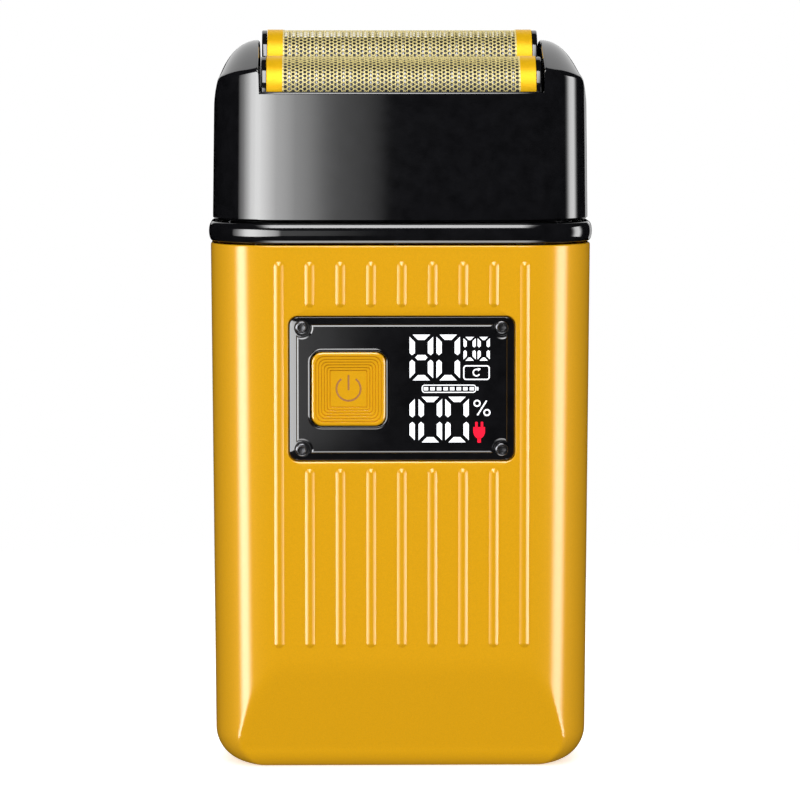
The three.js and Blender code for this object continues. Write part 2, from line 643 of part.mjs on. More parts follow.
function headForm() {
  const plan = roundedRect(HEAD.baseW, HEAD.halfD, HEAD.corner);
  const rx = HEAD.topW - EAR.peakX;
  const rz = EAR.peakZ - EAR.shoulderZ;
  const front = mirrored([
    [HEAD.baseW, HEAD.bottom],
    [HEAD.topW, EAR.shoulderZ],
    ...arc(EAR.peakX, EAR.shoulderZ, rx, rz, 0.15, Math.PI / 2, 7),
  ]);
  const side = polygon([
    [-HEAD.halfD - 0.3, HEAD.bottom],
    [HEAD.halfD + 0.3, HEAD.bottom],
    [HEAD.halfD + 0.3, 94],
    [HEAD.halfD - 0.3, 108],
    ...arc(HEAD.halfD - 4.3, 114.4, 4, 3.6, 0, 0.42 * Math.PI, 4),
    [4, EAR.peakZ],
    [-1, EAR.peakZ - 0.7],
    [-HEAD.halfD + 0.9, EAR.ridgeZ + 0.3],
    [-HEAD.halfD + 0.4, EAR.ridgeZ - 0.3],
    [-HEAD.halfD + 0.2, 108],
    [-HEAD.halfD - 0.3, 94],
  ]);
  return prismZ(plan, HEAD.bottom, 125)
    .intersect(prismY(front, -40, 40))
    .intersect(prismX(side, -40, 40));
}

function headShell() {
  const inner = HEAD.halfD - HEAD.wall - 0.1;
  const notch = polygon([
    [-20, LIP.front], [-inner, LIP.front], [inner, LIP.rear], [20, LIP.rear], [20, 130], [-20, 130],
  ]);
  const room = prismZ(roundedRect(HEAD.baseW - HEAD.wall, inner, HEAD.corner - HEAD.wall), 85, 125);
  const [front, rear] = UNITS.map((unit) => unit.z - LEDGE);
  const ceiling = polygon([
    [-20, 80], [20, 80], [20, rear], [-0.3, rear], [-0.3, front], [-20, front],
  ]);
  const side = room.intersect(prismX(ceiling, -40, 40));
  const middle = box(-EAR.notchX, EAR.notchX, -inner, inner, 80, 130);
  let shell = cut(headForm(), side, middle, prismX(notch, -EAR.notchX, EAR.notchX));
  for (const s of [-1, 1]) {
    const span = (a, b) => (s < 0 ? [-b, -a] : [a, b]);
    shell = shell.subtract(box(...span(25, 28.4), -10.4, -4.2, 100, 111.4));
    shell = shell.subtract(box(...span(25, 28.2), 4.2, 10.4, 100, 113.5));
    shell = shell.add(rodZ(BOSS.r, 99.8, 111, s * BOSS.x, 0));
    shell = shell.subtract(rodZ(1.1, 99, 106, s * BOSS.x, 0, 12));
  }
  return shell;
}

function foilRetainer() {
  let ring = prismZ(roundedRect(28.7, 12.9, 9.4), 98, 99.5);
  ring = ring.subtract(box(-20.9, 20.9, -11.95, 11.6, 90, 105));
  for (const unit of UNITS) {
    for (const side of [-1, 1]) {
      const [x0, x1] = side < 0 ? [-22.5, -21.2] : [21.2, 22.5];
      ring = ring.add(box(x0, x1, unit.y - 3, unit.y + 3, 99, unit.z - 5.6 - FLOAT - GAP));
    }
  }
  for (const side of [-1, 1]) {
    ring = ring.subtract(rodZ(1.15, 90, 105, side * BOSS.x, 0, 12));
  }
  return ring;
}

function retainerScrew(side) {
  const x = side * BOSS.x;
  const head = rodZ(1.9, 96.8, 97.95, x, 0, 16).add(rodZ(0.85, 97.5, 104.5, x, 0, 10));
  return head.subtract(rodZ(0.8, 96, 97.4, x, 0, 6));
}

// ---------- assembly ----------

const group = new THREE.Group();

function piece(name, finish, body) {
  const mesh = new THREE.Mesh(geometryOf(body), new THREE.MeshStandardMaterial(FINISH[finish]));
  mesh.name = name;
  group.add(mesh);
}

piece('front_housing', 'gold', frontHousing());
piece('rear_housing', 'gold', rearHousing());
piece('display_panel', 'gloss', displayPanel());
piece('panel_gasket', 'rubber', panelGasket());
for (const [name, sx, sz] of CORNERS) {
  piece(`panel_screw_${name}`, 'black', panelScrew(sx, sz));
}
piece('power_button', 'gold', powerButton());
piece('display_module', 'gloss', displayModule());
piece('display_board', 'board', displayBoard());
piece('power_switch', 'steel', powerSwitch());
piece('display_ribbon', 'nylon', displayRibbon());
piece('chassis', 'nylon', chassis());
piece('battery_cell', 'cell', batteryCell());
piece('main_board', 'board', mainBoard());
piece('usb_socket_shell', 'steel', usbShell());
piece('usb_socket_tongue', 'black', usbTongue());
piece('usb_port_seal', 'rubber', usbSeal());
piece('motor_can', 'steel', motorCan());
piece('motor_end_bell', 'nylon', motorEndBell());
piece('motor_bush', 'foil', motorBush());
piece('motor_shaft', 'steel', motorShaft());
piece('motor_armature', 'steel', motorArmature());
piece('eccentric_cam', 'nylon', eccentricCam());
for (const [name, side] of [['left', -1], ['right', 1]]) {
  piece(`housing_screw_${name}`, 'black', housingScrew(side));
  piece(`battery_lead_${name}`, side < 0 ? 'black' : 'red', batteryLead(side));
  piece(`motor_lead_${name}`, side < 0 ? 'black' : 'red', motorLead(side));
  piece(`motor_screw_${name}`, 'steel', motorScrew(side));
  piece(`deck_screw_${name}`, 'steel', deckScrew(side));
  piece(`head_catch_${name}`, 'steel', headCatch(side));
  piece(`retainer_screw_${name}`, 'steel', retainerScrew(side));
}
piece('collar', 'gloss', collar());
piece('deck', 'black', deck());
piece('deck_seal', 'rubber', deckSeal());
piece('guide_rod_front', 'steel', guideRod(-ROD.y));
piece('guide_rod_rear', 'steel', guideRod(ROD.y));
piece('drive_bridge', 'nylon', driveBridge());
UNITS.forEach((unit, i) => {
  piece(`drive_post_${unit.name}`, 'steel', drivePost(unit));
  piece(`cutter_spring_${unit.name}`, 'steel', cutterSpring(unit, PLATFORM[i]));
  piece(`cutter_blades_${unit.name}`, 'steel', cutterBlades(unit));
  piece(`cutter_carrier_${unit.name}`, 'black', cutterCarrier(unit));
  piece(`foil_${unit.name}`, 'foil', foilSheet(unit));
  piece(`foil_frame_${unit.name}`, 'gloss', foilFrame(unit));
});
piece('head_shell', 'gloss', headShell());
piece('foil_retainer', 'black', foilRetainer());

export default group;
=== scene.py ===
"""Finished surfaces of a cordless twin-foil shaver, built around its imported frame.

Sizes inside the file are in millimetres unless a name says otherwise; MM turns them into metres.
The front faces -Y, +Z is up and the base stands at Z = 0.
"""

import json
import math

import bmesh
import bpy
from mathutils import Matrix, Vector

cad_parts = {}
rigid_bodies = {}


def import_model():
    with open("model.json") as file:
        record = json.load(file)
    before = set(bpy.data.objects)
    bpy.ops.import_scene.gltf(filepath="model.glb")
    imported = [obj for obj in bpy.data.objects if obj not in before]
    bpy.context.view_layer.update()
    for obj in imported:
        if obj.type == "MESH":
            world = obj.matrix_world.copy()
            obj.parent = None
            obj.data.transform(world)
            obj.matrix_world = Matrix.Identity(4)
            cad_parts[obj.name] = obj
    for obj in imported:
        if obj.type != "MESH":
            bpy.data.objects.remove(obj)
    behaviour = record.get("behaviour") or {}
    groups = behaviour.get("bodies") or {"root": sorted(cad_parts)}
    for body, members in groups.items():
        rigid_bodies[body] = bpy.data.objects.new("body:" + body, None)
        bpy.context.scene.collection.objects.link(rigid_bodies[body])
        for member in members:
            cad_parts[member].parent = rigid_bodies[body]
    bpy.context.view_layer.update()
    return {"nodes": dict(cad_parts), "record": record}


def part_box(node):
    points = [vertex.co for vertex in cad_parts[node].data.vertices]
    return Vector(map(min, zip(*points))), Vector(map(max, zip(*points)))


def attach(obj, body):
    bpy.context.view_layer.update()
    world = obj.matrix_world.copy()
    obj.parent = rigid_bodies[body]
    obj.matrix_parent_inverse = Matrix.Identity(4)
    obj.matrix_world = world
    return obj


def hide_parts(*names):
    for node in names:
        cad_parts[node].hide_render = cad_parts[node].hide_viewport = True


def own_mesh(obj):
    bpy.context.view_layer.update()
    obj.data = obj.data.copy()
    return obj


bl_info = {
    "name": "Twin-foil shaver",
    "version": (1, 0, 0),
    "blender": (4, 5, 0),
    "location": "View3D > Sidebar > Shaver",
    "description": "Builds the finished surfaces of a cordless twin-foil shaver around its frame",
    "category": "Object",
}

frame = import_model()
MM = 0.001
UNITS = ("front", "rear")


def low(node):
    """Lowest corner of a frame node, in millimetres."""
    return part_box(node)[0] / MM


def high(node):
    """Highest corner of a frame node, in millimetres."""
    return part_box(node)[1] / MM


def middle(node):
    """Middle of a frame node's box, in millimetres."""
    return [(a + b) / 2 for a, b in zip(high(node), low(node))]


# ---------- what a user would change ----------


def length(name, description, default):
    return bpy.props.FloatProperty(
        name=name, description=description, default=default * MM, min=0.0, unit="LENGTH", precision=5
    )


def colour(name, description, default):
    return bpy.props.FloatVectorProperty(
        name=name, description=description, default=default, size=3, min=0.0, max=1.0, subtype="COLOR"
    )


class ShaverSizes(bpy.types.PropertyGroup):
    """Sizes of the fine shapes."""

    seam: length("Seam", "Gap between the two housings at the side", 0.12)
    wall: length("Wall", "Wall of the housings", 2.0)
    scoop_blend: length("Scoop blend", "Softness of the crease above the sloped foot", 0.35)
    rib_rise: length("Rib rise", "How far the grip ribs stand out", 0.5)
    rim: length("Rim", "Rounding of the recess that holds the panel", 0.3)
    ear_edge: length("Ear edge", "Rounding of the head's top edges", 0.45)
    foil_sheet: length("Foil sheet", "Thickness of the perforated foil", 0.09)
    hole_pitch: length("Hole pitch", "Distance between neighbouring holes of the foil", 0.72)
    web: length("Web", "Metal left between two holes of the foil", 0.2)
    blade: length("Blade", "Thickness of one cutter blade", 0.26)
    blades: bpy.props.IntProperty(name="Blades", description="Blades on each cutter", default=36, min=2)


class ShaverColours(bpy.types.PropertyGroup):
    """Base colours of the finishes."""

    paint: colour("Body paint", "Satin golden yellow of the handle", (0.83, 0.41, 0.002))
    # The symbol's colour is a darker copy of the body paint: painted shade in the engraved groove.
    symbol: colour("Symbol", "Tinted groove of the power symbol", (0.42, 0.16, 0.01))
    black: colour("Polished black", "Head, collar and panel", (0.006, 0.006, 0.007))
    moulded: colour("Moulded black", "Inner black mouldings", (0.02, 0.02, 0.022))
    web: colour("Foil web", "Perforated part of the foils", (0.78, 0.66, 0.28))
    band: colour("Foil band", "Plain gold ends of the foils", (0.80, 0.45, 0.002))
    steel: colour("Steel", "Bright steel pieces", (0.62, 0.62, 0.64))
    figures: colour("Figures", "Lit figures of the display", (0.95, 0.96, 1.0))
    plug: colour("Plug", "Charging symbol", (0.85, 0.004, 0.03))
    floor: colour("Floor", "Studio floor", (0.86, 0.86, 0.87))


def sizes():
    return bpy.context.scene.shaver_sizes


def colours():
    return bpy.context.scene.shaver_colours


# ---------- finishes ----------


def node(tree, kind, **values):
    """Adds a shader node and sets its fields and its inputs."""
    made = tree.nodes.new(kind)
    for key, value in values.items():
        if key in made.inputs.keys():
            made.inputs[key].default_value = value
        else:
            setattr(made, key, value)
    return made


def finish(name, base, rough, metal=0.0, grain=900.0, mottle=0.06, bump=0.02, uneven=0.04, extra=None):
    """A surface with fine grain: noise on the piece's own coordinates varies colour, gloss and relief.

    mottle is the share by which the colour varies, uneven the spread of the roughness, and bump the
    strength of a relief 0.02 mm deep.
    """
    material = bpy.data.materials.get(name)
    if material:
        return material
    material = bpy.data.materials.new(name)
    material.use_nodes = True
    tree = material.node_tree
    shader = tree.nodes["Principled BSDF"]
    shader.inputs["Metallic"].default_value = metal
    for key, value in (extra or {}).items():
        shader.inputs[key].default_value = value
    place = node(tree, "ShaderNodeTexCoord")
    noise = node(tree, "ShaderNodeTexNoise", Scale=grain, Detail=4.0, Roughness=0.6)
    tree.links.new(place.outputs["Object"], noise.inputs["Vector"])
    tint = node(tree, "ShaderNodeValToRGB")
    tint.color_ramp.elements[0].position = 0.3
    tint.color_ramp.elements[1].position = 0.7
    tint.color_ramp.elements[0].color = (*[c * (1 - mottle) for c in base], 1)
    tint.color_ramp.elements[1].color = (*[min(1, c * (1 + mottle)) for c in base], 1)
    tree.links.new(noise.outputs["Fac"], tint.inputs["Fac"])
    tree.links.new(tint.outputs["Color"], shader.inputs["Base Color"])
    spread = node(tree, "ShaderNodeMapRange")
    spread.inputs["To Min"].default_value = rough - uneven
    spread.inputs["To Max"].default_value = rough + uneven
    tree.links.new(noise.outputs["Fac"], spread.inputs["Value"])
    tree.links.new(spread.outputs["Result"], shader.inputs["Roughness"])
    relief = node(tree, "ShaderNodeBump", Strength=bump, Distance=0.02 * MM)
    tree.links.new(noise.outputs["Fac"], relief.inputs["Height"])
    tree.links.new(relief.outputs["Normal"], shader.inputs["Normal"])
    return material


def paint():
    return finish(
        "satin_gold_paint", colours().paint, 0.45, metal=0.05, grain=5200, mottle=0.05, bump=0.08,
        extra={"Coat Weight": 0.8, "Coat Roughness": 0.1, "Coat IOR": 1.6, "Specular IOR Level": 0.1},
    )


def polished_black():
    return finish(
        "polished_black", colours().black, 0.07, grain=420, mottle=0.3, bump=0.01, uneven=0.015,
        extra={"Specular IOR Level": 0.8},
    )


def moulded_black():
    return finish("moulded_black", colours().moulded, 0.5, grain=2600, mottle=0.2, bump=0.5, uneven=0.1)


def bright_steel():
    return finish("bright_steel", colours().steel, 0.27, metal=1.0, grain=1500, mottle=0.08, bump=0.15)


# Steel darkened far below the bright steel, so that the blades under the foils look dark: painted shade.
def blade_steel_painted_shade():
    return finish("blade_steel_painted_shade", (0.16, 0.16, 0.165), 0.38, metal=1.0, grain=2200, mottle=0.12, bump=0.1)


def blackened_steel():
    return finish("blackened_steel", (0.1, 0.1, 0.105), 0.22, metal=0.9, grain=1800, mottle=0.2)


def foil_metal():
    """Pale gold web of the perforated foils."""
    return finish(
        "foil_metal", colours().web, 0.4, metal=0.1, grain=1200, mottle=0.06, bump=0.05,
        extra={"Specular IOR Level": 0.15},
    )


def band_metal():
    return finish(
        "foil_band_gold", colours().band, 0.36, metal=0.15, grain=900, mottle=0.04, bump=0.04,
        extra={"Specular IOR Level": 0.1},
    )


# Darker copy of the body paint for the floor of the symbol's groove: painted shade.
def groove_painted_shade():
    return finish("symbol_groove_painted_shade", colours().symbol, 0.5, grain=3000, mottle=0.1)


def lit(name, base, strength):
    """A lit display figure: an emitter behind a pale print."""
    material = finish(name, base, 0.5, grain=2500, mottle=0.04, extra={"Specular IOR Level": 0.1})
    shader = material.node_tree.nodes["Principled BSDF"]
    shader.inputs["Emission Color"].default_value = (*base, 1)
    shader.inputs["Emission Strength"].default_value = strength
    return material


# ---------- mesh tools ----------


def arc(cx, cy, rx, ry, start, end, steps):
    """Points of an arc in degrees, both ends included."""
    points = []
    for i in range(steps + 1):
        angle = math.radians(start + (end - start) * i / steps)
        points.append((cx + rx * math.cos(angle), cy + ry * math.sin(angle)))
    return points


def rounded(half_w, half_h, r, cx=0.0, cy=0.0, steps=8, straight=1):
    """Rounded rectangle, counter-clockwise, with each straight side in a number of equal stretches."""
    corners = ((1, 1, 0), (-1, 1, 90), (-1, -1, 180), (1, -1, 270))
    arcs = [
        arc(cx + sx * (half_w - r), cy + sy * (half_h - r), r, r, start, start + 90, steps)
        for sx, sy, start in corners
    ]
    points = []
    for i, corner in enumerate(arcs):
        points += corner
        ax, ay = corner[-1]
        bx, by = arcs[(i + 1) % 4][0]
        for k in range(1, straight):
            points.append((ax + (bx - ax) * k / straight, ay + (by - ay) * k / straight))
    return points


AXES = {
    "X": lambda u, v, t: (t, u, v),
    "Y": lambda u, v, t: (u, t, v),
    "Z": lambda u, v, t: (u, v, t),
}


def lifted(outline, axis, level):
    """An outline's points put in space at a level along an axis."""
    return [AXES[axis](u, v, level) for u, v in outline]


def everything(bm):
    return bm.verts[:] + bm.edges[:] + bm.faces[:]


def edges_of(result):
    return [g for g in result["geom"] if isinstance(g, bmesh.types.BMEdge) and g.is_boundary]


def verts_of(result):
    return [g for g in result["geom"] if isinstance(g, bmesh.types.BMVert)]


def skin(bm, loops, start=True, end=True, ring=False):
    """Skins through loops of equal length: the first is drawn, and each next one is extruded from it."""
    order = bm.verts.layers.int.get("order") or bm.verts.layers.int.new("order")
    before = set(bm.faces)
    verts = [bm.verts.new(Vector(p) * MM) for p in loops[0]]
    for i, vert in enumerate(verts):
        vert[order] = i
    edges = [bm.edges.new((verts[i], verts[(i + 1) % len(verts)])) for i in range(len(verts))]
    first = edges
    for loop in loops[1:]:
        result = bmesh.ops.extrude_edge_only(bm, edges=edges)
        for vert in verts_of(result):
            vert.co = Vector(loop[vert[order]]) * MM
        edges = edges_of(result)
    if ring:
        bmesh.ops.bridge_loops(bm, edges=first + edges)
    if start and not ring:
        bmesh.ops.edgeloop_fill(bm, edges=first)
    if end and not ring:
        bmesh.ops.edgeloop_fill(bm, edges=edges)
    made = [f for f in bm.faces if f not in before]
    bmesh.ops.recalc_face_normals(bm, faces=made)
    return made


def prism(bm, outline, axis, start, end, rim=0.0):
    """Extrudes an outline along an axis, with the edge of its far end rounded by rim."""
    loops = [lifted(outline, axis, start)]
    if rim:
        cx = sum(u for u, _ in outline) / len(outline)
        cy = sum(v for _, v in outline) / len(outline)
        reach_u = max(abs(u - cx) for u, _ in outline)
        reach_v = max(abs(v - cy) for _, v in outline)
        way = 1 if end > start else -1
        for step in range(5):
            angle = math.radians(90 * step / 4)
            inset = rim * (1 - math.cos(angle))
            su, sv = 1 - inset / reach_u, 1 - inset / reach_v
            shrunk = [(cx + (u - cx) * su, cy + (v - cy) * sv) for u, v in outline]
            loops.append(lifted(shrunk, axis, end - way * rim * (1 - math.sin(angle))))
    else:
        loops.append(lifted(outline, axis, end))
    return skin(bm, loops)


def turned(bm, profile, axis, centre, sides=40):
    """Spins a profile of (radius, level) points, from one pole to the other, round an axis."""
    loops = []
    for radius, level in profile:
        outline = arc(centre[0], centre[1], radius, radius, 0, 360 - 360 / sides, sides - 1)
        loops.append(lifted(outline, axis, level))
    return skin(bm, loops)


def make(name, bm, material, body, slot, *nodes, smooth=32):
    """Turns a bmesh into a finished piece that rides on a body and stands for frame nodes."""
    mesh = bpy.data.meshes.new(name)
    bm.to_mesh(mesh)
    bm.free()
    piece = bpy.data.objects.new(name, mesh)
    bpy.context.scene.collection.objects.link(piece)
    return dress(piece, material, body, slot, *nodes, smooth=smooth)


def dress(piece, material, body, slot, *nodes, smooth=32):
    if not piece.data.materials:
        piece.data.materials.append(material)
    piece.data.shade_smooth()
    piece.data.set_sharp_from_angle(angle=math.radians(smooth))
    flats = piece.modifiers.new("flats", "WEIGHTED_NORMAL")
    flats.keep_sharp = True
    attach(piece, body)
    if nodes:
        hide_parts(*nodes)
    return piece


def loose(name, bm):
    """A working object that isn't a piece yet."""
    mesh = bpy.data.meshes.new(name)
    bm.to_mesh(mesh)
    bm.free()
    made = bpy.data.objects.new(name, mesh)
    bpy.context.scene.collection.objects.link(made)
    return made


def applied(target):
    """Applies every modifier of an object to its mesh."""
    graph = bpy.context.evaluated_depsgraph_get()
    mesh = bpy.data.meshes.new_from_object(target.evaluated_get(graph))
    target.modifiers.clear()
    old = target.data
    target.data = mesh
    bpy.data.meshes.remove(old)
    return target


def combined(target, tool, operation):
    """Joins a working object to another, or cuts it away, and removes it."""
    modifier = target.modifiers.new("combine", "BOOLEAN")
    modifier.object = tool
    modifier.operation = operation
    modifier.solver = "EXACT"
    applied(target)
    bpy.data.objects.remove(tool)
    return target


def soft_max(a, b, k):
    blend = max(k - abs(a - b), 0) / k if k else 0
    return max(a, b) + blend * blend * k / 4


def soft_min(a, b, k):
    return -soft_max(-a, -b, k)


# ---------- handle ----------

BODY_W = high("front_housing").x
BODY_D = high("rear_housing").y
BODY_TOP = high("front_housing").z
CORNER = 11.5  # radius of the handle's upright corners
TAPER = 0.65  # each side is this much narrower at the base
BASE_SIDE = 5.7  # radius of the lower left and right corners
BASE_EDGE = 4.0  # radius under the front and the back
SCOOP_TOP = 17.0
SCOOP_LOW = (-12.4, 3.2)
SCOOP_FOOT = -9.6


def roll(z, r):
    """How far a rounded lower edge of radius r has drawn in at height z."""
    return 0.0 if z >= r else r - math.sqrt(max(0.0, r * r - (r - z) ** 2))


def scoop(z):
    """Where the sloped foot lies under the front face at height z."""
    low_y, low_z = SCOOP_LOW
    if z >= low_z:
        return low_y + (z - low_z) * (-BODY_D - low_y) / (SCOOP_TOP - low_z)
    return SCOOP_FOOT + (low_y - SCOOP_FOOT) * math.sqrt(1 - ((low_z - z) / low_z) ** 2)


def handle_ring(z, inset=0.0):
    side = roll(z, BASE_SIDE)
    edge = roll(z, BASE_EDGE)
    half_w = BODY_W - TAPER * (1 - z / BODY_TOP) - side - inset
    half_d = BODY_D - edge - inset
    outline = rounded(half_w, half_d, CORNER - edge - inset, steps=34, straight=8)
    blend = sizes().scoop_blend / MM
    return [(x, soft_max(y, scoop(z), blend), z) for x, y in outline]


def handle_levels():
    levels = [(BODY_TOP, 0.3), (BODY_TOP - 0.04, 0.14), (BODY_TOP - 0.14, 0.04), (BODY_TOP - 0.3, 0.0)]
    levels += [(82 - 6.0 * i, 0.0) for i in range(10)]
    levels += [(23 - 0.5 * i, 0.0) for i in range(35)]
    fine = [BASE_SIDE * (1 - math.sin(math.radians(5 * i))) for i in range(1, 19)]
    return levels + [(z, 0.0) for z in fine if z > 1e-6] + [(0.0, 0.0)]


def housing_half(name, keep_front):
    """One housing: the outer skin cut at the side seam and given its wall."""
    bm = bmesh.new()
    loops = [handle_ring(z, inset) for z, inset in handle_levels()]
    skin(bm, loops, start=False, end=True)
    seam = sizes().seam / 2
    bmesh.ops.bisect_plane(
        bm, geom=everything(bm), plane_co=(0, -seam if keep_front else seam, 0),
        plane_no=(0, 1 if keep_front else -1, 0), clear_outer=True,
    )
    if sum(f.normal.dot(f.calc_center_median()) for f in bm.faces) < 0:
        bmesh.ops.reverse_faces(bm, faces=bm.faces[:])
    half = loose(name, bm)
    wall = half.modifiers.new("wall", "SOLIDIFY")
    wall.thickness = sizes().wall
    wall.offset = -1
    return applied(half)


RIB_PITCH = 4.96
RIB_HALF = 0.78
RIB_TOP = 0.16  # share of the half width that the rounded top takes up
RIB_SPANS = ((20.2, 82.9), (20.2, 49.4), (75.5, 82.9))


def rib_beads():
    """The grip ribs: long ridges with straight flanks, the inner ones broken by the panel."""

    def flank(share):
        return math.hypot(share, RIB_TOP) - RIB_TOP

    bm = bmesh.new()
    rise = sizes().rib_rise / MM
    for i in range(-4, 5):
        spans = RIB_SPANS[:1] if abs(i) == 4 else RIB_SPANS[1:]
        for bottom, top in spans:
            ball = bmesh.ops.create_uvsphere(bm, u_segments=28, v_segments=15, radius=RIB_HALF * MM)
            for vert in ball["verts"]:
                end = top - RIB_HALF if vert.co.z > 0 else bottom + RIB_HALF
                x, y, z = vert.co / MM
                out = rise * (flank(1.0) - flank(math.hypot(x, z) / RIB_HALF)) if y < 0 else -0.3
                vert.co = Vector((i * RIB_PITCH + x, -BODY_D - out, z + end)) * MM
    return loose("rib_beads", bm)


PANEL_HALF_W = high("display_panel").x
PANEL_MID = middle("display_panel")[2]
PANEL_HALF_H = high("display_panel").z - PANEL_MID
LEDGE_Y = -14.2


def recess_tool():
    """Cutter for the panel's recess, flared so that it leaves a sloped rim."""
    bm = bmesh.new()
    rim = sizes().rim / MM
    fit = 0.16
    loops = []
    stops = (
        (LEDGE_Y, 0.0), (-BODY_D + rim, 0.0), (-BODY_D + 0.6 * rim, 0.03), (-BODY_D, rim),
        (-BODY_D - 1.5, rim),
    )
    for y, grow in stops:
        outline = rounded(
            PANEL_HALF_W + fit + grow, PANEL_HALF_H + fit + grow, 1.6 + grow, 0, PANEL_MID, steps=10
        )
        loops.append(lifted(outline, "Y", y))
    skin(bm, loops)
    return loose("recess_tool", bm)


def block(bm, x, y, z):
    """A plain box between pairs of limits, as a cutting tool."""
    middle = [(a + b) / 2 * MM for a, b in (x, y, z)]
    scale = [(b - a) * MM for a, b in (x, y, z)]
    bmesh.ops.create_cube(bm, size=1, matrix=Matrix.Translation(middle) @ Matrix.Diagonal((*scale, 1)))


def window_tool():
    bm = bmesh.new()
    block(bm, (-14.4, 14.4), (-17, -10), (PANEL_MID - 10.5, PANEL_MID + 10.5))
    return loose("window_tool", bm)


def socket_mouth(grow, y_centre):
    half_w = high("usb_socket_shell").x
    half_d = high("usb_socket_shell").y - y_centre
    return rounded(half_w + grow, half_d + grow, half_d + grow - 0.02, 0, y_centre, steps=10)


def socket_tool():
    """Cutter for the charging socket's mouth, flared at the base."""
    bm = bmesh.new()
    y_centre = middle("usb_socket_shell")[1]
    flare = ((-1, 0.75), (0, 0.75), (0.12, 0.52), (0.35, 0.4), (0.6, 0.35), (6, 0.35))
    loops = [lifted(socket_mouth(grow, y_centre), "Z", z) for z, grow in flare]
    skin(bm, loops)
    return loose("socket_tool", bm)


def screw_well_tool(side):
    bm = bmesh.new()
    x, _, z = middle("housing_screw_right")
    profile = ((2.15, 14.1), (2.15, BODY_D - 0.3), (2.24, BODY_D - 0.12), (2.5, BODY_D), (2.5, BODY_D + 1))
    turned(bm, profile, "Y", (side * x, z), sides=36)
    return loose("screw_well_tool", bm)


class SHAVER_OT_housings(bpy.types.Operator):
    """Front and rear housings with ribs, panel recess, socket mouth and screw wells"""

    bl_idname = "shaver.housings"
    bl_label = "Housings"

    def execute(self, context):
        front = housing_half("front_housing_skin", True)
        combined(front, rib_beads(), "UNION")
        combined(front, recess_tool(), "DIFFERENCE")
        combined(front, window_tool(), "DIFFERENCE")
        combined(front, socket_tool(), "DIFFERENCE")
        dress(front, paint(), "handle", "gold_paint", "front_housing", smooth=38)
        rear = housing_half("rear_housing_skin", False)
        for side in (-1, 1):
            combined(rear, screw_well_tool(side), "DIFFERENCE")
        dress(rear, paint(), "handle", "gold_paint", "rear_housing", smooth=38)
        return {"FINISHED"}


# ---------- panel, screws and figures ----------

SCREW_X = middle("panel_screw_top_right")[0]
SCREW_Z = middle("panel_screw_top_right")[2] - PANEL_MID
PLATE_BACK = -14.37
PLATE_CORNER = 1.45
BORDER_Y = (-14.95, -15.2)  # the border slopes from its outer edge up to the raised middle
PLATEAU_Y = -15.47
BUTTON_X = middle("power_button")[0]
BUTTON_HALF = 5.95
CORNERS = (("top_left", -1, 1), ("top_right", 1, 1), ("bottom_left", -1, -1), ("bottom_right", 1, -1))


def plateau_outline(inset):
    """The raised middle: a rectangle that steps round each screw in a hollow arc."""
    half_w = PANEL_HALF_W - 1.15 - inset
    half_h = PANEL_HALF_H - 1.2 - inset
    r = 1.5 + inset
    reach_h = math.sqrt(r * r - (half_h - SCREW_Z) ** 2)
    reach_w = math.sqrt(r * r - (half_w - SCREW_X) ** 2)
    start = math.degrees(math.atan2(half_h - SCREW_Z, -reach_h))
    end = math.degrees(math.atan2(-reach_w, half_w - SCREW_X)) + 360
    hollow = arc(SCREW_X, SCREW_Z, r, r, start, end, 16)
    points = []
    for sx, sz in ((1, 1), (-1, 1), (-1, -1), (1, -1)):
        corner = [(sx * x, sz * z + PANEL_MID) for x, z in hollow]
        points += corner if sx * sz < 0 else list(reversed(corner))
    return points


def panel_plate():
    """Sloped border, raised middle with rounded edges, screw wells and the button's hole."""
    outer, inner = BORDER_Y
    bm = bmesh.new()
    stops = [(0.0, PLATE_BACK), (0.0, outer + 0.18), (0.05, outer + 0.06), (0.18, outer), (1.3, inner)]
    loops = []
    for inset, y in stops:
        r = PLATE_CORNER - inset * 0.6
        outline = rounded(PANEL_HALF_W - inset, PANEL_HALF_H - inset, r, 0, PANEL_MID, steps=10)
        loops.append(lifted(outline, "Y", y))
    skin(bm, loops)
    plate = loose("display_panel_plate", bm)
    bm = bmesh.new()
    edge = ((0.0, -14.6), (0.0, PLATEAU_Y + 0.28), (0.16, PLATEAU_Y + 0.09), (0.36, PLATEAU_Y))
    loops = [lifted(plateau_outline(inset), "Y", y) for inset, y in edge]
    skin(bm, loops)
    combined(plate, loose("plateau", bm), "UNION")
    bm = bmesh.new()
    for _, sx, sz in CORNERS:
        well = ((1.35, -17), (1.35, inner), (1.18, inner + 0.15), (1.18, inner + 0.45))
        turned(bm, well, "Y", (sx * SCREW_X, PANEL_MID + sz * SCREW_Z), sides=36)
    combined(plate, loose("wells", bm), "DIFFERENCE")
    bm = bmesh.new()
    hole = rounded(BUTTON_HALF + 0.15, BUTTON_HALF + 0.15, 1.75, BUTTON_X, PANEL_MID, steps=8)
    prism(bm, hole, "Y", -12, -18)
    return combined(plate, loose("button_hole", bm), "DIFFERENCE")


def button_bezel():
    """Raised lip round the button."""
    bm = bmesh.new()
    section = ((0.15, -14.8), (0.15, -15.56), (0.19, -15.66), (0.28, -15.7), (0.4, -15.7))
    section += ((0.52, -15.66), (0.62, -15.56), (0.65, -15.4), (0.65, -14.8))
    loops = []
    for grow, y in section:
        half = BUTTON_HALF + grow
        loops.append(lifted(rounded(half, half, 1.6 + grow, BUTTON_X, PANEL_MID, steps=8), "Y", y))
    skin(bm, loops, ring=True)
    return make("button_bezel", bm, polished_black(), "handle", "gloss_black")


SEGMENTS = {0: "abcdef", 1: "bc", 8: "abcdefg"}


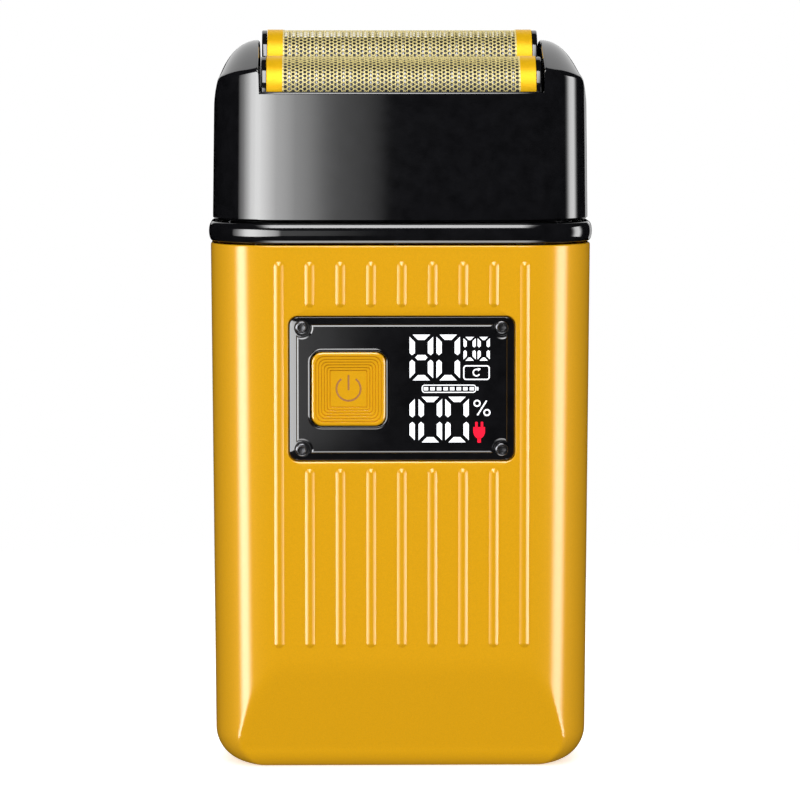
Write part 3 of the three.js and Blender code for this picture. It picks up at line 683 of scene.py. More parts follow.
def segment_outlines(width, height, t):
    """Outlines of the seven bars of a figure, with mitred ends and small gaps between them."""
    g = 0.4 * t  # gap at the mitres
    top = 0.58 * t
    m = height / 2
    side = [(0, g), (0, m - 0.85 * t), (0.45 * t, m - 0.42 * t), (t, m - 0.85 * t), (t, t + g)]
    upper = [(x, height - y) for x, y in side]
    return {
        "a": [(top, height), (width - top, height), (width - t - top, height - t), (t + top, height - t)],
        "d": [(top, 0), (width - top, 0), (width - t - top, t), (t + top, t)],
        "e": side,
        "f": upper,
        "c": [(width - x, y) for x, y in side],
        "b": [(width - x, y) for x, y in upper],
        "g": [
            (1.05 * t, m), (1.5 * t, m + 0.48 * t), (width - 1.5 * t, m + 0.48 * t),
            (width - 1.05 * t, m), (width - 1.5 * t, m - 0.48 * t), (1.5 * t, m - 0.48 * t),
        ],
    }


FIGURE_Y = PLATEAU_Y - 0.025


def printed(bm, outline):
    """A thin closed print on the panel's face."""
    prism(bm, outline, "Y", PLATEAU_Y + 0.01, FIGURE_Y)


def figure(bm, digit, x, z, width, height, t):
    bars = segment_outlines(width, height, t)
    for key in SEGMENTS[digit]:
        printed(bm, [(x + u, PANEL_MID + z + v) for u, v in bars[key]])


def hollow_box(bm, x, z, half_w, half_h, line):
    """A rounded outline of even line width, as a ring."""
    loops = []
    for y, grow in ((PLATEAU_Y, 0), (FIGURE_Y, 0), (FIGURE_Y, -line), (PLATEAU_Y, -line)):
        outline = rounded(half_w + grow, half_h + grow, 0.5 + grow, x, PANEL_MID + z, steps=5)
        loops.append(lifted(outline, "Y", y))
    skin(bm, loops, ring=True)


def bar(bm, x, z, half_w, half_h, turn=0.0):
    corners = ((half_w, half_h), (-half_w, half_h), (-half_w, -half_h), (half_w, -half_h))
    c, s = math.cos(math.radians(turn)), math.sin(math.radians(turn))
    printed(bm, [(x + u * c - v * s, PANEL_MID + z + u * s + v * c) for u, v in corners])


def speed_symbol(bm):
    """A turning arrow in a rounded box."""
    x, z = 12.05, 2.62
    inner, outer = 0.42, 0.64
    hollow_box(bm, x, z, 2.15, 1.2, 0.2)
    z += PANEL_MID
    printed(bm, arc(x, z, outer, outer, 60, 330, 14) + arc(x, z, inner, inner, 330, 60, 14))
    printed(bm, [(x + 0.18, z + 0.75), (x + 0.72, z + 0.62), (x + 0.3, z + 0.22)])


def charge_symbol(bm):
    """A small cell with its charge in bars."""
    x, z = 7.6, 0.02
    hollow_box(bm, x, z, 4.4, 0.66, 0.15)
    bar(bm, x + 4.62, z, 0.14, 0.28)
    for i in range(8):
        bar(bm, x - 3.71 + 1.06 * i, z, 0.36, 0.27)


def percent_symbol(bm):
    x, z = 12.95, -3.1
    bar(bm, x, z, 0.12, 1.4, turn=-32)
    for sx, sz in ((-0.8, 0.75), (0.8, -0.75)):
        cx, cz = x + sx, PANEL_MID + z + sz
        loops = []
        for y, r in ((PLATEAU_Y, 0.58), (FIGURE_Y, 0.58), (FIGURE_Y, 0.34), (PLATEAU_Y, 0.34)):
            loops.append(lifted(arc(cx, cz, r, r, 0, 345, 23), "Y", y))
        skin(bm, loops, ring=True)


def plug_symbol(bm):
    """A plug standing on its lead, with two pins."""
    x, z = 12.5, -6.95 + PANEL_MID
    body = [(x - 0.95, z + 0.75)] + arc(x, z + 0.1, 0.95, 1.25, 180, 360, 12) + [(x + 0.95, z + 0.75)]
    printed(bm, body)
    for side in (-1, 1):
        printed(bm, rounded(0.2, 0.45, 0.1, x + side * 0.45, z + 1.15, steps=3))
    printed(bm, rounded(0.28, 0.4, 0.08, x, z - 1.4, steps=3))


class SHAVER_OT_panel(bpy.types.Operator):
    """Display panel with its raised middle, screw wells and the lip round the button"""

    bl_idname = "shaver.panel"
    bl_label = "Panel"

    def execute(self, context):
        dress(panel_plate(), polished_black(), "handle", "gloss_black", "display_panel", smooth=20)
        button_bezel()
        return {"FINISHED"}


class SHAVER_OT_figures(bpy.types.Operator):
    """Lit figures and pictograms of the display"""

    bl_idname = "shaver.figures"
    bl_label = "Figures"

    def execute(self, context):
        bm = bmesh.new()
        big = (3.8, 7.4, 0.86)
        figure(bm, 8, 1.25, 1.38, *big)
        figure(bm, 0, 5.58, 1.38, *big)
        figure(bm, 0, 9.95, 4.55, 1.98, 3.85, 0.52)
        figure(bm, 0, 12.22, 4.55, 1.98, 3.85, 0.52)
        figure(bm, 1, -1.7, -8.68, *big)
        figure(bm, 0, 2.7, -8.68, *big)
        figure(bm, 0, 7.02, -8.68, *big)
        speed_symbol(bm)
        charge_symbol(bm)
        percent_symbol(bm)
        make("display_figures", bm, lit("lit_figures", colours().figures, 0.55), "handle", "display_white")
        bm = bmesh.new()
        plug_symbol(bm)
        make("display_plug", bm, lit("lit_plug", colours().plug, 0.5), "handle", "display_white")
        return {"FINISHED"}


def socket_head(bm, cx, cz, r, face, depth, sides=36):
    """A button head with a round socket, seen from the side that face points to."""
    profile = [(r, depth)]
    for degrees in (0, 22, 45, 68, 90):
        angle = math.radians(degrees)
        profile.append((r - 0.3 * r * (1 - math.cos(angle)), 0.25 * (1 - math.sin(angle))))
    profile += [(r * 0.6, 0.0), (r * 0.52, 0.08), (r * 0.48, depth * 0.55), (0.02, depth * 0.62)]
    way = -1 if face < 0 else 1
    turned(bm, [(radius, face - way * down) for radius, down in profile], "Y", (cx, cz), sides)


class SHAVER_OT_screws(bpy.types.Operator):
    """Small black screws of the panel and of the rear housing"""

    bl_idname = "shaver.screws"
    bl_label = "Screws"

    def execute(self, context):
        for name, sx, sz in CORNERS:
            bm = bmesh.new()
            x, z = sx * SCREW_X, PANEL_MID + sz * SCREW_Z
            socket_head(bm, x, z, 1.08, BORDER_Y[1] - 0.1, 0.55)
            turned(bm, ((0.5, -14.8), (0.5, -11.7), (0.1, -11.4)), "Y", (x, z), 20)
            node_name = f"panel_screw_{name}"
            make(f"{node_name}_head", bm, blackened_steel(), "handle", "black_steel", node_name)
        for name, side in (("left", -1), ("right", 1)):
            bm = bmesh.new()
            x, _, z = middle("housing_screw_right")
            x *= side
            socket_head(bm, x, z, 1.9, BODY_D - 0.25, 1.0)
            turned(bm, ((0.95, 14.3), (0.95, -5), (0.2, -5.4)), "Y", (x, z), 24)
            node_name = f"housing_screw_{name}"
            make(f"{node_name}_head", bm, blackened_steel(), "handle", "black_steel", node_name)
        return {"FINISHED"}


# ---------- button ----------


def button_loops():
    """From the stem end round the rim and down the steps to the flat middle."""
    face = low("power_button").y
    stops = [(BUTTON_HALF, -14.2), (BUTTON_HALF, face + 0.4)]
    stops += [(BUTTON_HALF - 0.06, face + 0.15), (BUTTON_HALF - 0.26, face)]
    half, depth = BUTTON_HALF - 0.55, face
    for _ in range(6):
        stops += [(half, depth), (half - 0.05, depth + 0.02), (half - 0.1, depth + 0.27)]
        stops += [(half - 0.17, depth + 0.27), (half - 0.19, depth + 0.14)]
        half -= 0.46
        depth += 0.14
    stops.append((half, depth))
    loops = []
    for half, y in stops:
        r = max(0.15, 1.7 - (BUTTON_HALF - half) * 0.5)
        loops.append(lifted(rounded(half, half, r, BUTTON_X, PANEL_MID, steps=8), "Y", y))
    return loops, depth


def symbol_outlines(grow):
    """The power symbol: an open ring and a bar."""
    inner, outer = 1.8 - grow, 2.1 + grow
    ring = arc(BUTTON_X, PANEL_MID, outer, outer, 126, 414, 30)
    ring += arc(BUTTON_X, PANEL_MID, inner, inner, 414, 126, 30)
    stem = rounded(0.15 + grow, 1.25, 0.12, BUTTON_X, PANEL_MID + 1.0, steps=3)
    return ring, stem


class SHAVER_OT_button(bpy.types.Operator):
    """Square push button with falling steps and an engraved power symbol"""

    bl_idname = "shaver.button"
    bl_label = "Button"

    def execute(self, context):
        loops, floor = button_loops()
        bm = bmesh.new()
        skin(bm, loops)
        button = loose("power_button_cap", bm)
        bm = bmesh.new()
        for outline in symbol_outlines(0.0):
            prism(bm, outline, "Y", floor + 0.13, -17)
        combined(button, loose("symbol_tool", bm), "DIFFERENCE")
        bm = bmesh.new()
        half = BUTTON_HALF + 0.6
        prism(bm, rounded(half, half, 1.7, BUTTON_X, PANEL_MID), "Y", -13.4, -14.15)
        turned(bm, ((2.0, -13.45), (2.0, -12.15), (1.85, -12.0)), "Y", (BUTTON_X, PANEL_MID), 28)
        combined(button, loose("stem", bm), "UNION")
        dress(button, paint(), "button", "gold_paint", "power_button", smooth=24)
        # A dark insert at the floor of the engraved symbol: painted shade in the groove.
        bm = bmesh.new()
        for outline in symbol_outlines(-0.01):
            prism(bm, outline, "Y", floor + 0.128, floor + 0.1)
        make("power_symbol", bm, groove_painted_shade(), "button", "gold_paint")
        return {"FINISHED"}


# ---------- collar ----------

COLLAR_W = high("collar").x
COLLAR_D = high("collar").y
COLLAR_LOW = low("collar").z
COLLAR_HIGH = high("collar").z


class SHAVER_OT_collar(bpy.types.Operator):
    """Polished band between handle and head"""

    bl_idname = "shaver.collar"
    bl_label = "Collar"

    def execute(self, context):
        middle = (COLLAR_LOW + COLLAR_HIGH) / 2
        half = (COLLAR_HIGH - COLLAR_LOW) / 2
        stops = []
        for i in range(-10, 11):
            angle = math.radians(8.6 * i)
            swell = 0.75 * (1 - math.cos(angle) ** 0.8)
            stops.append((middle + half * math.sin(angle) / math.sin(math.radians(86)), swell))
        loops = []
        for z, inset in stops + [(COLLAR_HIGH, 2.9), (COLLAR_LOW, 2.9)]:
            outline = rounded(COLLAR_W - inset, COLLAR_D - inset, 12.0 - inset, steps=24, straight=2)
            loops.append(lifted(outline, "Z", z))
        bm = bmesh.new()
        skin(bm, loops, ring=True)
        make("collar_band", bm, polished_black(), "handle", "gloss_black", "collar")
        return {"FINISHED"}


# ---------- head ----------

HEAD_LOW = low("head_shell").z
HEAD_W = 30.3
HEAD_D = 14.9
HEAD_CORNER = 11.3
HEAD_CROWN = 0.6  # the front and back are this much fuller at the middle than at the corners
PEAK_X, PEAK_Z, SHOULDER_Z, RIDGE_Z = 23.3, 118.4, 107.5, 113.8
CREST_Y = 4.0
NOTCH_X = 23.0
LIP = (110.2, 114.4)
LIP_INNER = 13.2
BOSS_X = 26.4
BOSS_R = 2.1
EAR_LEDGE = 4.3  # the ears' ceiling lies this far under each foil's middle
EAR_FALL = 3.9  # drop of the ears from their crest to the back
RIDGE_SLOPE = 0.22
STEP_W = 0.12  # width of the step between lip and ear
ROOM_W, ROOM_CORNER = 29.1, 9.7


def head_front(x):
    """Half depth of the head's plan without its rounded corners: full at the middle."""
    return HEAD_D - HEAD_CROWN * (x / (HEAD_W - HEAD_CORNER)) ** 2


def head_depth(x):
    """Half depth of the head's plan at a distance x from the middle."""
    across = max(0.0, abs(x) - HEAD_W + HEAD_CORNER) / HEAD_CORNER
    return head_front(x) - HEAD_CORNER + HEAD_CORNER * math.sqrt(max(0.0, 1 - across * across))


def rim_distance(x, y):
    """How far a place lies inside the head's plan."""
    u = abs(x) - HEAD_W + HEAD_CORNER
    v = abs(y) - head_front(x) + HEAD_CORNER
    if u > 0 and v > 0:
        return HEAD_CORNER - math.hypot(u, v)
    return min(HEAD_W - abs(x), head_depth(x) - abs(y))


def fillet(distance, r):
    """Drop of a surface near an edge rounded with radius r."""
    return 0.0 if distance >= r else r - math.sqrt(max(0.0, r * r - (r - distance) ** 2))


def ear_outline(x):
    """Height of the ears' outline seen from the front."""
    reach = min(1.0, max(0.0, abs(x) - PEAK_X) / (HEAD_W - PEAK_X))
    return SHOULDER_Z + (PEAK_Z - SHOULDER_Z) * math.sqrt(1 - reach * reach)


def ear_height(x, y):
    """The ears slope up from their front ridge to a crest behind the middle and fall a little after it."""
    crest = ear_outline(x)
    if y > CREST_Y:
        return crest - EAR_FALL * ((y - CREST_Y) / (HEAD_D - CREST_Y)) ** 3
    ridge = soft_min(RIDGE_Z - RIDGE_SLOPE * (abs(x) - PEAK_X), crest, 0.3)
    depth = head_depth(x)
    share = (y + depth) / (CREST_Y + depth)
    return ridge + (crest - ridge) * (1 - (1 - share) ** 1.7)


def head_top(x, y):
    """Height of the head's top surface."""
    edge = sizes().ear_edge / MM
    rim = fillet(rim_distance(x, y), edge)
    ear = ear_height(x, y) - fillet(abs(x) - NOTCH_X, edge) - rim
    inner = fillet(abs(abs(y) - LIP_INNER), 0.2) if abs(y) > LIP_INNER else 0.0
    lip = (LIP[0] if y < 0 else LIP[1]) - rim - inner
    rise = min(1.0, max(0.0, (abs(x) - NOTCH_X + STEP_W) / STEP_W))
    return lip + (ear - lip) * rise


def head_columns():
    flat = [0, 6, 12, 17, 20, 21.5, 22.4, 22.7, 22.84]
    step = [22.88, 23.0, 23.02, 23.05, 23.1, 23.17, 23.26, 23.36, 23.46]
    reach = HEAD_W - step[-1]
    ear = [step[-1] + reach * math.sin(math.radians(5 * i)) for i in range(1, 19)]
    right = flat + step + ear
    return [-x for x in reversed(right[1:])] + right


def head_rows(depth):
    """Places across the depth, close together near the front and rear edges."""
    rim = [0.0, 0.015, 0.05, 0.1, 0.18, 0.28, 0.4, 0.47, 0.9]
    rim += [HEAD_D - LIP_INNER - gap for gap in (0.2, 0.12, 0.05, 0.02, 0.0)]
    start = min(rim[-1], depth * 0.7)
    rim = [d * start / rim[-1] for d in rim]
    front = [d - depth for d in rim]
    span = 2 * (depth - start)
    middle = [start - depth + span * i / 22 for i in range(1, 22)]
    return front + middle + [depth - d for d in reversed(rim)]


def head_form():
    """Closed form of the head: the top surface as a grid, with its rim drawn down to the base."""
    columns = head_columns()
    rows = len(head_rows(HEAD_D))
    bm = bmesh.new()
    tops = bm.verts.layers.float.new("top")
    bmesh.ops.create_grid(bm, x_segments=len(columns) - 1, y_segments=rows - 1, size=1)
    for vert in bm.verts:
        x = columns[round((vert.co.x + 1) / 2 * (len(columns) - 1))]
        y = head_rows(head_depth(x))[round((vert.co.y + 1) / 2 * (rows - 1))]
        vert.co = Vector((x, y, head_top(x, y))) * MM
        vert[tops] = vert.co.z
    edges = [e for e in bm.edges if e.is_boundary]
    for share in (0.02, 0.08, 0.18, 0.32, 0.46, 0.6, 0.74, 0.88, 0.95, 0.985, 1.0):
        result = bmesh.ops.extrude_edge_only(bm, edges=edges)
        for vert in verts_of(result):
            vert.co.z = vert[tops] + (HEAD_LOW * MM - vert[tops]) * share
        edges = edges_of(result)
    bmesh.ops.edgeloop_fill(bm, edges=edges)
    for vert in bm.verts:
        fall = (PEAK_Z - vert.co.z / MM) / (PEAK_Z - HEAD_LOW)
        round_in = fillet(vert.co.z / MM - HEAD_LOW, 0.4)
        vert.co.x *= 1 + (0.4 * fall - round_in) / HEAD_W
        vert.co.y *= 1 + (0.6 * fall - 0.3 - round_in) / HEAD_D
    bmesh.ops.recalc_face_normals(bm, faces=bm.faces[:])
    return loose("head_shell_skin", bm)


def head_cavity():
    """Room under the ears and the opening for the two foils."""
    bm = bmesh.new()
    block(bm, (-NOTCH_X, NOTCH_X), (-LIP_INNER, LIP_INNER), (80, 130))
    room = loose("head_room", bm)
    wide = rounded(ROOM_W, LIP_INNER, ROOM_CORNER, steps=10)
    for unit, keep in (("front", -1), ("rear", 1)):
        ceiling = foil_centre(unit)[1] - EAR_LEDGE
        bm = bmesh.new()
        prism(bm, wide, "Z", 85, ceiling)
        cut = bmesh.ops.bisect_plane(
            bm, geom=everything(bm), plane_co=(0, -0.3 * MM * keep, 0), plane_no=(0, -keep, 0),
            clear_outer=True,
        )
        open_edge = [g for g in cut["geom_cut"] if isinstance(g, bmesh.types.BMEdge)]
        bmesh.ops.edgeloop_fill(bm, edges=open_edge)
        bmesh.ops.recalc_face_normals(bm, faces=bm.faces[:])
        combined(room, loose("side_room", bm), "UNION")
    return room


class SHAVER_OT_head(bpy.types.Operator):
    """Polished head shell with its two ears and the opening for the foils"""

    bl_idname = "shaver.head"
    bl_label = "Head"

    def execute(self, context):
        head = combined(head_form(), head_cavity(), "DIFFERENCE")
        bm = bmesh.new()
        for side in (-1, 1):
            turned(bm, ((BOSS_R, 111), (BOSS_R, 99.95), (1.95, 99.8)), "Z", (side * BOSS_X, 0), 28)
        combined(head, loose("bosses", bm), "UNION")
        dress(head, polished_black(), "head", "gloss_black", "head_shell", smooth=38)
        return {"FINISHED"}


# ---------- foils ----------


def foil_centre(unit):
    """Middle of a foil's arch and its outer radius."""
    lo, hi = low(f"foil_{unit}"), high(f"foil_{unit}")
    r = (hi.y - lo.y) / 2
    return (lo.y + hi.y) / 2, hi.z - r, r


BAND = 2.5  # plain gold stretch at each end of a foil
BAND_RISE = 0.13  # how far the band stands over the frame's foil
BAND_WALL = 0.26
BAND_FOOT = 2.8


def perforated_sheet(unit):
    """A flat honeycomb of cells, opened where the foil is perforated, trimmed and bent over the cutter."""
    cy, cz, r = foil_centre(unit)
    half_l = high(f"foil_{unit}").x
    skirt = cz - low(f"foil_{unit}").z
    quarter = r * math.pi / 2
    half_v = quarter + skirt
    pitch = sizes().hole_pitch / MM
    cell = pitch / math.sqrt(3)
    bm = bmesh.new()
    columns = int(half_l / (1.5 * cell)) + 2
    rows = int(half_v / pitch) + 2
    for i in range(-columns, columns + 1):
        for j in range(-rows, rows + 1):
            spot = Vector((1.5 * cell * i, (j + 0.5 * (i % 2)) * pitch, 0)) * MM
            place = Matrix.Translation(spot)
            bmesh.ops.create_circle(bm, cap_ends=True, segments=6, radius=cell * MM, matrix=place)
    bmesh.ops.remove_doubles(bm, verts=bm.verts[:], dist=0.05 * cell * MM)
    for way, reach in (((1, 0, 0), half_l), ((0, 1, 0), half_v)):
        for sign in (-1, 1):
            normal = Vector(way) * sign
            edge = normal * reach * MM
            bmesh.ops.bisect_plane(
                bm, geom=everything(bm), plane_co=edge, plane_no=normal, clear_outer=True
            )
    open_u = half_l - BAND
    open_v = quarter + 0.9
    cells = []
    for face in bm.faces:
        centre = face.calc_center_median() / MM
        if abs(centre.x) < open_u and abs(centre.y) < open_v and len(face.verts) == 6:
            cells.append(face)
    bmesh.ops.inset_individual(bm, faces=cells, thickness=sizes().web / 2)
    bmesh.ops.delete(bm, geom=cells, context="FACES")
    for vert in bm.verts:
        u, v = vert.co.x / MM, vert.co.y / MM
        if abs(v) <= quarter:
            y, z = cy + r * math.sin(v / r), cz + r * math.cos(v / r)
        else:
            y, z = cy + math.copysign(r, v), cz - (abs(v) - quarter)
        vert.co = Vector((u, y, z)) * MM
    bmesh.ops.recalc_face_normals(bm, faces=bm.faces[:])
    bm.normal_update()
    if sum(f.normal.z for f in bm.faces) < 0:
        bmesh.ops.reverse_faces(bm, faces=bm.faces[:])
    sheet = loose(f"foil_{unit}_sheet", bm)
    wall = sheet.modifiers.new("thickness", "SOLIDIFY")
    wall.thickness = sizes().foil_sheet
    wall.offset = -1
    return applied(sheet)


def arch_outline(cy, cz, r, foot, steps=48):
    """A half-round arch on straight legs, closed along the inside of a wall."""
    return [(cy + r, cz - foot)] + arc(cy, cz, r, r, 0, 180, steps) + [(cy - r, cz - foot)]


def arch_band(bm, cy, cz, r, foot, wall, x0, x1):
    """A curved strip over the foil."""
    outer = arch_outline(cy, cz, r, foot)
    inner = arch_outline(cy, cz, r - wall, foot)
    corners = ((outer, x0), (outer, x1), (inner, x1), (inner, x0))
    skin(bm, [lifted(outline, "X", x) for outline, x in corners], ring=True)


class SHAVER_OT_foils(bpy.types.Operator):
    """Perforated foils with their plain gold ends"""

    bl_idname = "shaver.foils"
    bl_label = "Foils"

    def execute(self, context):
        for unit in UNITS:
            cy, cz, r = foil_centre(unit)
            half_l = high(f"foil_{unit}").x
            sheet = perforated_sheet(unit)
            dress(sheet, foil_metal(), f"{unit}_foil", "gold_foil", f"foil_{unit}", smooth=40)
            bm = bmesh.new()
            for side in (-1, 1):
                ends = sorted((side * (half_l - BAND + 0.02), side * (half_l + 0.05)))
                arch_band(bm, cy, cz, r + BAND_RISE, BAND_FOOT, BAND_WALL, *ends)
            make(f"foil_{unit}_bands", bm, band_metal(), f"{unit}_foil", "gold_foil")
        return {"FINISHED"}


class SHAVER_OT_foil_frames(bpy.types.Operator):
    """Black frames under the foils with polished arched end plates"""

    bl_idname = "shaver.foil_frames"
    bl_label = "Foil frames"

    def execute(self, context):
        for unit in UNITS:
            cy, cz, r = foil_centre(unit)
            hi, lo = high(f"foil_frame_{unit}"), low(f"foil_frame_{unit}")
            end = high(f"foil_{unit}").x + 0.15
            rail_y = hi.y - cy
            bm = bmesh.new()
            for side in (-1, 1):
                prism(bm, arch_outline(cy, cz, r, 5.6), "X", side * end, side * (end + 0.8), rim=0.3)
                tab = rounded(2.0, 0.5, 0.2, cy, lo.z + 0.5, steps=3)
                prism(bm, tab, "X", side * (end + 0.2), side * hi.x, rim=0.15)
                web = rounded(rail_y, 0.7, 0.1, cy, cz - 3.9, steps=3)
                prism(bm, web, "X", side * (end - 0.9), side * (end + 0.2))
                rail = rounded(0.17, 1.8, 0.1, cy + side * (rail_y - 0.17), cz - 2.8, steps=3)
                prism(bm, rail, "X", -end, end)
            name = f"foil_frame_{unit}"
            make(f"{name}_moulding", bm, polished_black(), f"{unit}_foil", "gloss_black", name)
        return {"FINISHED"}


# ---------- cutters, springs and drive ----------


class SHAVER_OT_cutters(bpy.types.Operator):
    """Blade blocks: thin arched blades on a shared spine"""

    bl_idname = "shaver.cutters"
    bl_label = "Cutters"

    def execute(self, context):
        for unit in UNITS:
            cy, cz, r = foil_centre(unit)
            lo, hi = low(f"cutter_blades_{unit}"), high(f"cutter_blades_{unit}")
            blade_r = r - sizes().foil_sheet / MM - 0.12
            t = sizes().blade / MM
            count = sizes().blades
            pitch = (hi.x - lo.x - t) / (count - 1)
            bm = bmesh.new()
            edge = math.degrees(math.asin((lo.z - cz) / blade_r))
            outer = arc(cy, cz, blade_r, blade_r, edge, 180 - edge, 26)
            inner = arc(cy, cz - 0.2, 3.9, 3.9, 180, 0, 14)
            outline = outer + [(cy - 4.1, lo.z)] + inner + [(cy + 4.1, lo.z)]
            for i in range(count):
                x = lo.x + i * pitch
                prism(bm, outline, "X", x, x + t)
            for y in (cy - 4.3, cy + 4.3):
                prism(bm, rounded(0.3, 0.4, 0.12, y, lo.z + 0.45, steps=2), "X", lo.x, hi.x)
            stands_for = f"cutter_blades_{unit}"
            name = f"cutter_{unit}_blades"
            # The blades get the darkened steel: painted shade under the foil.
            make(name, bm, blade_steel_painted_shade(), f"{unit}_cutter", "bright_steel", stands_for, smooth=25)
            bm = bmesh.new()
            hub = arc(cy, cz - 0.3, 4.7, 4.7, -8, 188, 30) + arc(cy, cz - 0.3, 2.9, 2.9, 188, -8, 20)
            prism(bm, hub, "X", lo.x + 0.05, hi.x - 0.05)
            make(f"cutter_{unit}_hub", bm, moulded_black(), f"{unit}_cutter", "matte_black")
        return {"FINISHED"}


class SHAVER_OT_springs(bpy.types.Operator):
    """Coil springs under the cutters"""

    bl_idname = "shaver.springs"
    bl_label = "Springs"

    def execute(self, context):
        for unit in UNITS:
            lo, hi = low(f"cutter_spring_{unit}"), high(f"cutter_spring_{unit}")
            wire, turns, steps = 0.3, 4.5, 20
            cy = middle(f"drive_post_{unit}")[1]
            radius = 1.9
            bm = bmesh.new()
            loops = []
            total = int(turns * steps)
            for i in range(total + 1):
                angle = 2 * math.pi * i / steps
                rise = lo.z + wire + (hi.z - lo.z - 2 * wire) * i / total
                out = Vector((math.cos(angle), math.sin(angle), 0))
                centre = Vector((0, cy, rise)) + out * radius
                ring = arc(0, 0, wire, wire, 0, 315, 7)
                loops.append([centre + out * u + Vector((0, 0, v)) for u, v in ring])
            skin(bm, loops)
            stands_for = f"cutter_spring_{unit}"
            name = f"cutter_{unit}_spring"
            spring = make(name, bm, bright_steel(), "oscillator", "bright_steel", stands_for, smooth=60)
            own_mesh(spring)
        return {"FINISHED"}


class SHAVER_OT_drive(bpy.types.Operator):
    """Drive posts and guide rods as turned steel"""

    bl_idname = "shaver.drive"
    bl_label = "Drive"

    def execute(self, context):
        for unit in UNITS:
            lo, hi = low(f"drive_post_{unit}"), high(f"drive_post_{unit}")
            cy = middle(f"drive_post_{unit}")[1]
            profile = ((0.8, lo.z), (1.0, lo.z + 0.2), (1.0, hi.z - 0.4), (0.85, hi.z - 0.1), (0.6, hi.z))
            bm = bmesh.new()
            turned(bm, profile, "Z", (0, cy), 32)
            stands_for = f"drive_post_{unit}"
            make(f"drive_{unit}_post", bm, bright_steel(), "oscillator", "bright_steel", stands_for)
            lo, hi = low(f"guide_rod_{unit}"), high(f"guide_rod_{unit}")
            spot = middle(f"guide_rod_{unit}")[1:]
            profile = ((0.8, lo.x), (1.0, lo.x + 0.2), (1.0, hi.x - 0.2), (0.8, hi.x))
            bm = bmesh.new()
            turned(bm, profile, "X", spot, 32)
            make(f"guide_{unit}_rod", bm, bright_steel(), "handle", "bright_steel", f"guide_rod_{unit}")
        return {"FINISHED"}


# ---------- pieces that keep their frame shape ----------


def board_green():
    return finish("solder_mask", (0.015, 0.14, 0.06), 0.35, grain=1400, mottle=0.25, bump=0.1)


def natural_nylon():
    return finish("natural_nylon", (0.72, 0.7, 0.64), 0.42, grain=1800, mottle=0.05, bump=0.25)


def seal_rubber():
    return finish("seal_rubber", (0.02, 0.02, 0.021), 0.8, grain=3000, mottle=0.25, bump=0.4)


KEPT = {
    "matte_black": moulded_black,
    "black_steel": blackened_steel,
    "seal_rubber": seal_rubber,
    "circuit_board": board_green,
    "natural_nylon": natural_nylon,
    "bright_steel": bright_steel,
    "gloss_black": polished_black,
    "gold_paint": paint,
    "gold_foil": foil_metal,
    "cell_wrap": lambda: finish("cell_wrap", (0.03, 0.17, 0.5), 0.3, grain=700, mottle=0.08, bump=0.05),
    "lead_black": lambda: finish("lead_black", (0.012, 0.012, 0.013), 0.45, grain=1500, mottle=0.2),
    "lead_red": lambda: finish("lead_red", (0.5, 0.015, 0.012), 0.45, grain=1500, mottle=0.08),
    "bronze": lambda: finish("sintered_bronze", (0.5, 0.3, 0.12), 0.45, metal=1.0, grain=4000, mottle=0.2),
    "display_white": lambda: finish("display_glass", (0.02, 0.02, 0.024), 0.15, grain=900, mottle=0.2),
}


class SHAVER_OT_kept(bpy.types.Operator):
    """Finishes of the frame pieces whose shape is already right"""

    bl_idname = "shaver.kept"
    bl_label = "Kept pieces"

    def execute(self, context):
        slots = {row["node"]: row["material_slot"] for row in frame["record"]["subparts"]}
        for name, piece in frame["nodes"].items():
            piece.data.materials.clear()
            piece.data.materials.append(KEPT[slots[name]]())
        return {"FINISHED"}


# ---------- studio ----------


def around(azimuth, elevation, distance, height):
    """A place round the object: azimuth 0 is in front, and positive turns to the viewer's right."""
    sideways = Matrix.Rotation(math.radians(azimuth), 3, "Z")
    upwards = Matrix.Rotation(math.radians(-elevation), 3, "X")
    return sideways @ upwards @ Vector((0, -distance, 0)) + Vector((0, 0, height))


def receivers(name, painted):
    """The pieces with the gold paint, or all the others, as the group that a light shines on."""
    group = bpy.data.collections.new(name)
    for piece in bpy.data.objects:
        if piece.type == "MESH" and piece.name not in frame["nodes"] and piece.data.materials:
            if (piece.data.materials[0] == paint()) == painted:
                group.objects.link(piece)
    return group


def soft_panel(
    name, azimuth, elevation, distance, wide, tall, glow,
    tint=(1, 1, 1), fade=(), only=None, height=0.06, fill=False,
):
    """A soft light aimed at the object.

    glow is its brightness, fade its share at places across its width, and only the group it shines on.
    A fill lights the surfaces and isn't mirrored in them; any other panel is only mirrored.
    """
    spot = around(azimuth, elevation, distance, height)
    data = bpy.data.lights.new(name, "AREA")
    data.shape = "RECTANGLE"
    data.size = wide
    data.size_y = tall
    data.energy = glow * math.pi * wide * tall
    data.color = tint
    if fade:
        data.use_nodes = True
        tree = data.node_tree
        place = node(tree, "ShaderNodeNewGeometry")
        split = node(tree, "ShaderNodeSeparateXYZ")
        ramp = node(tree, "ShaderNodeValToRGB")
        stops = ramp.color_ramp.elements
        for at, share in fade:
            stop = stops[0] if at == 0 else stops[-1] if at == 1 else stops.new(at)
            stop.color = (share, share, share, 1)
        tree.links.new(place.outputs["Parametric"], split.inputs["Vector"])
        tree.links.new(split.outputs["X"], ramp.inputs["Fac"])
        tree.links.new(ramp.outputs["Color"], tree.nodes["Emission"].inputs["Strength"])
    light = bpy.data.objects.new(name, data)
    light.location = spot
    aim = Vector((0, 0, height)) - spot
    light.rotation_euler = aim.to_track_quat("-Z", "Y").to_euler()
    light.visible_camera = False
    light.visible_glossy = not fill
    light.visible_diffuse = fill
    if only:
        light.light_linking.receiver_collection = only
    bpy.context.scene.collection.objects.link(light)


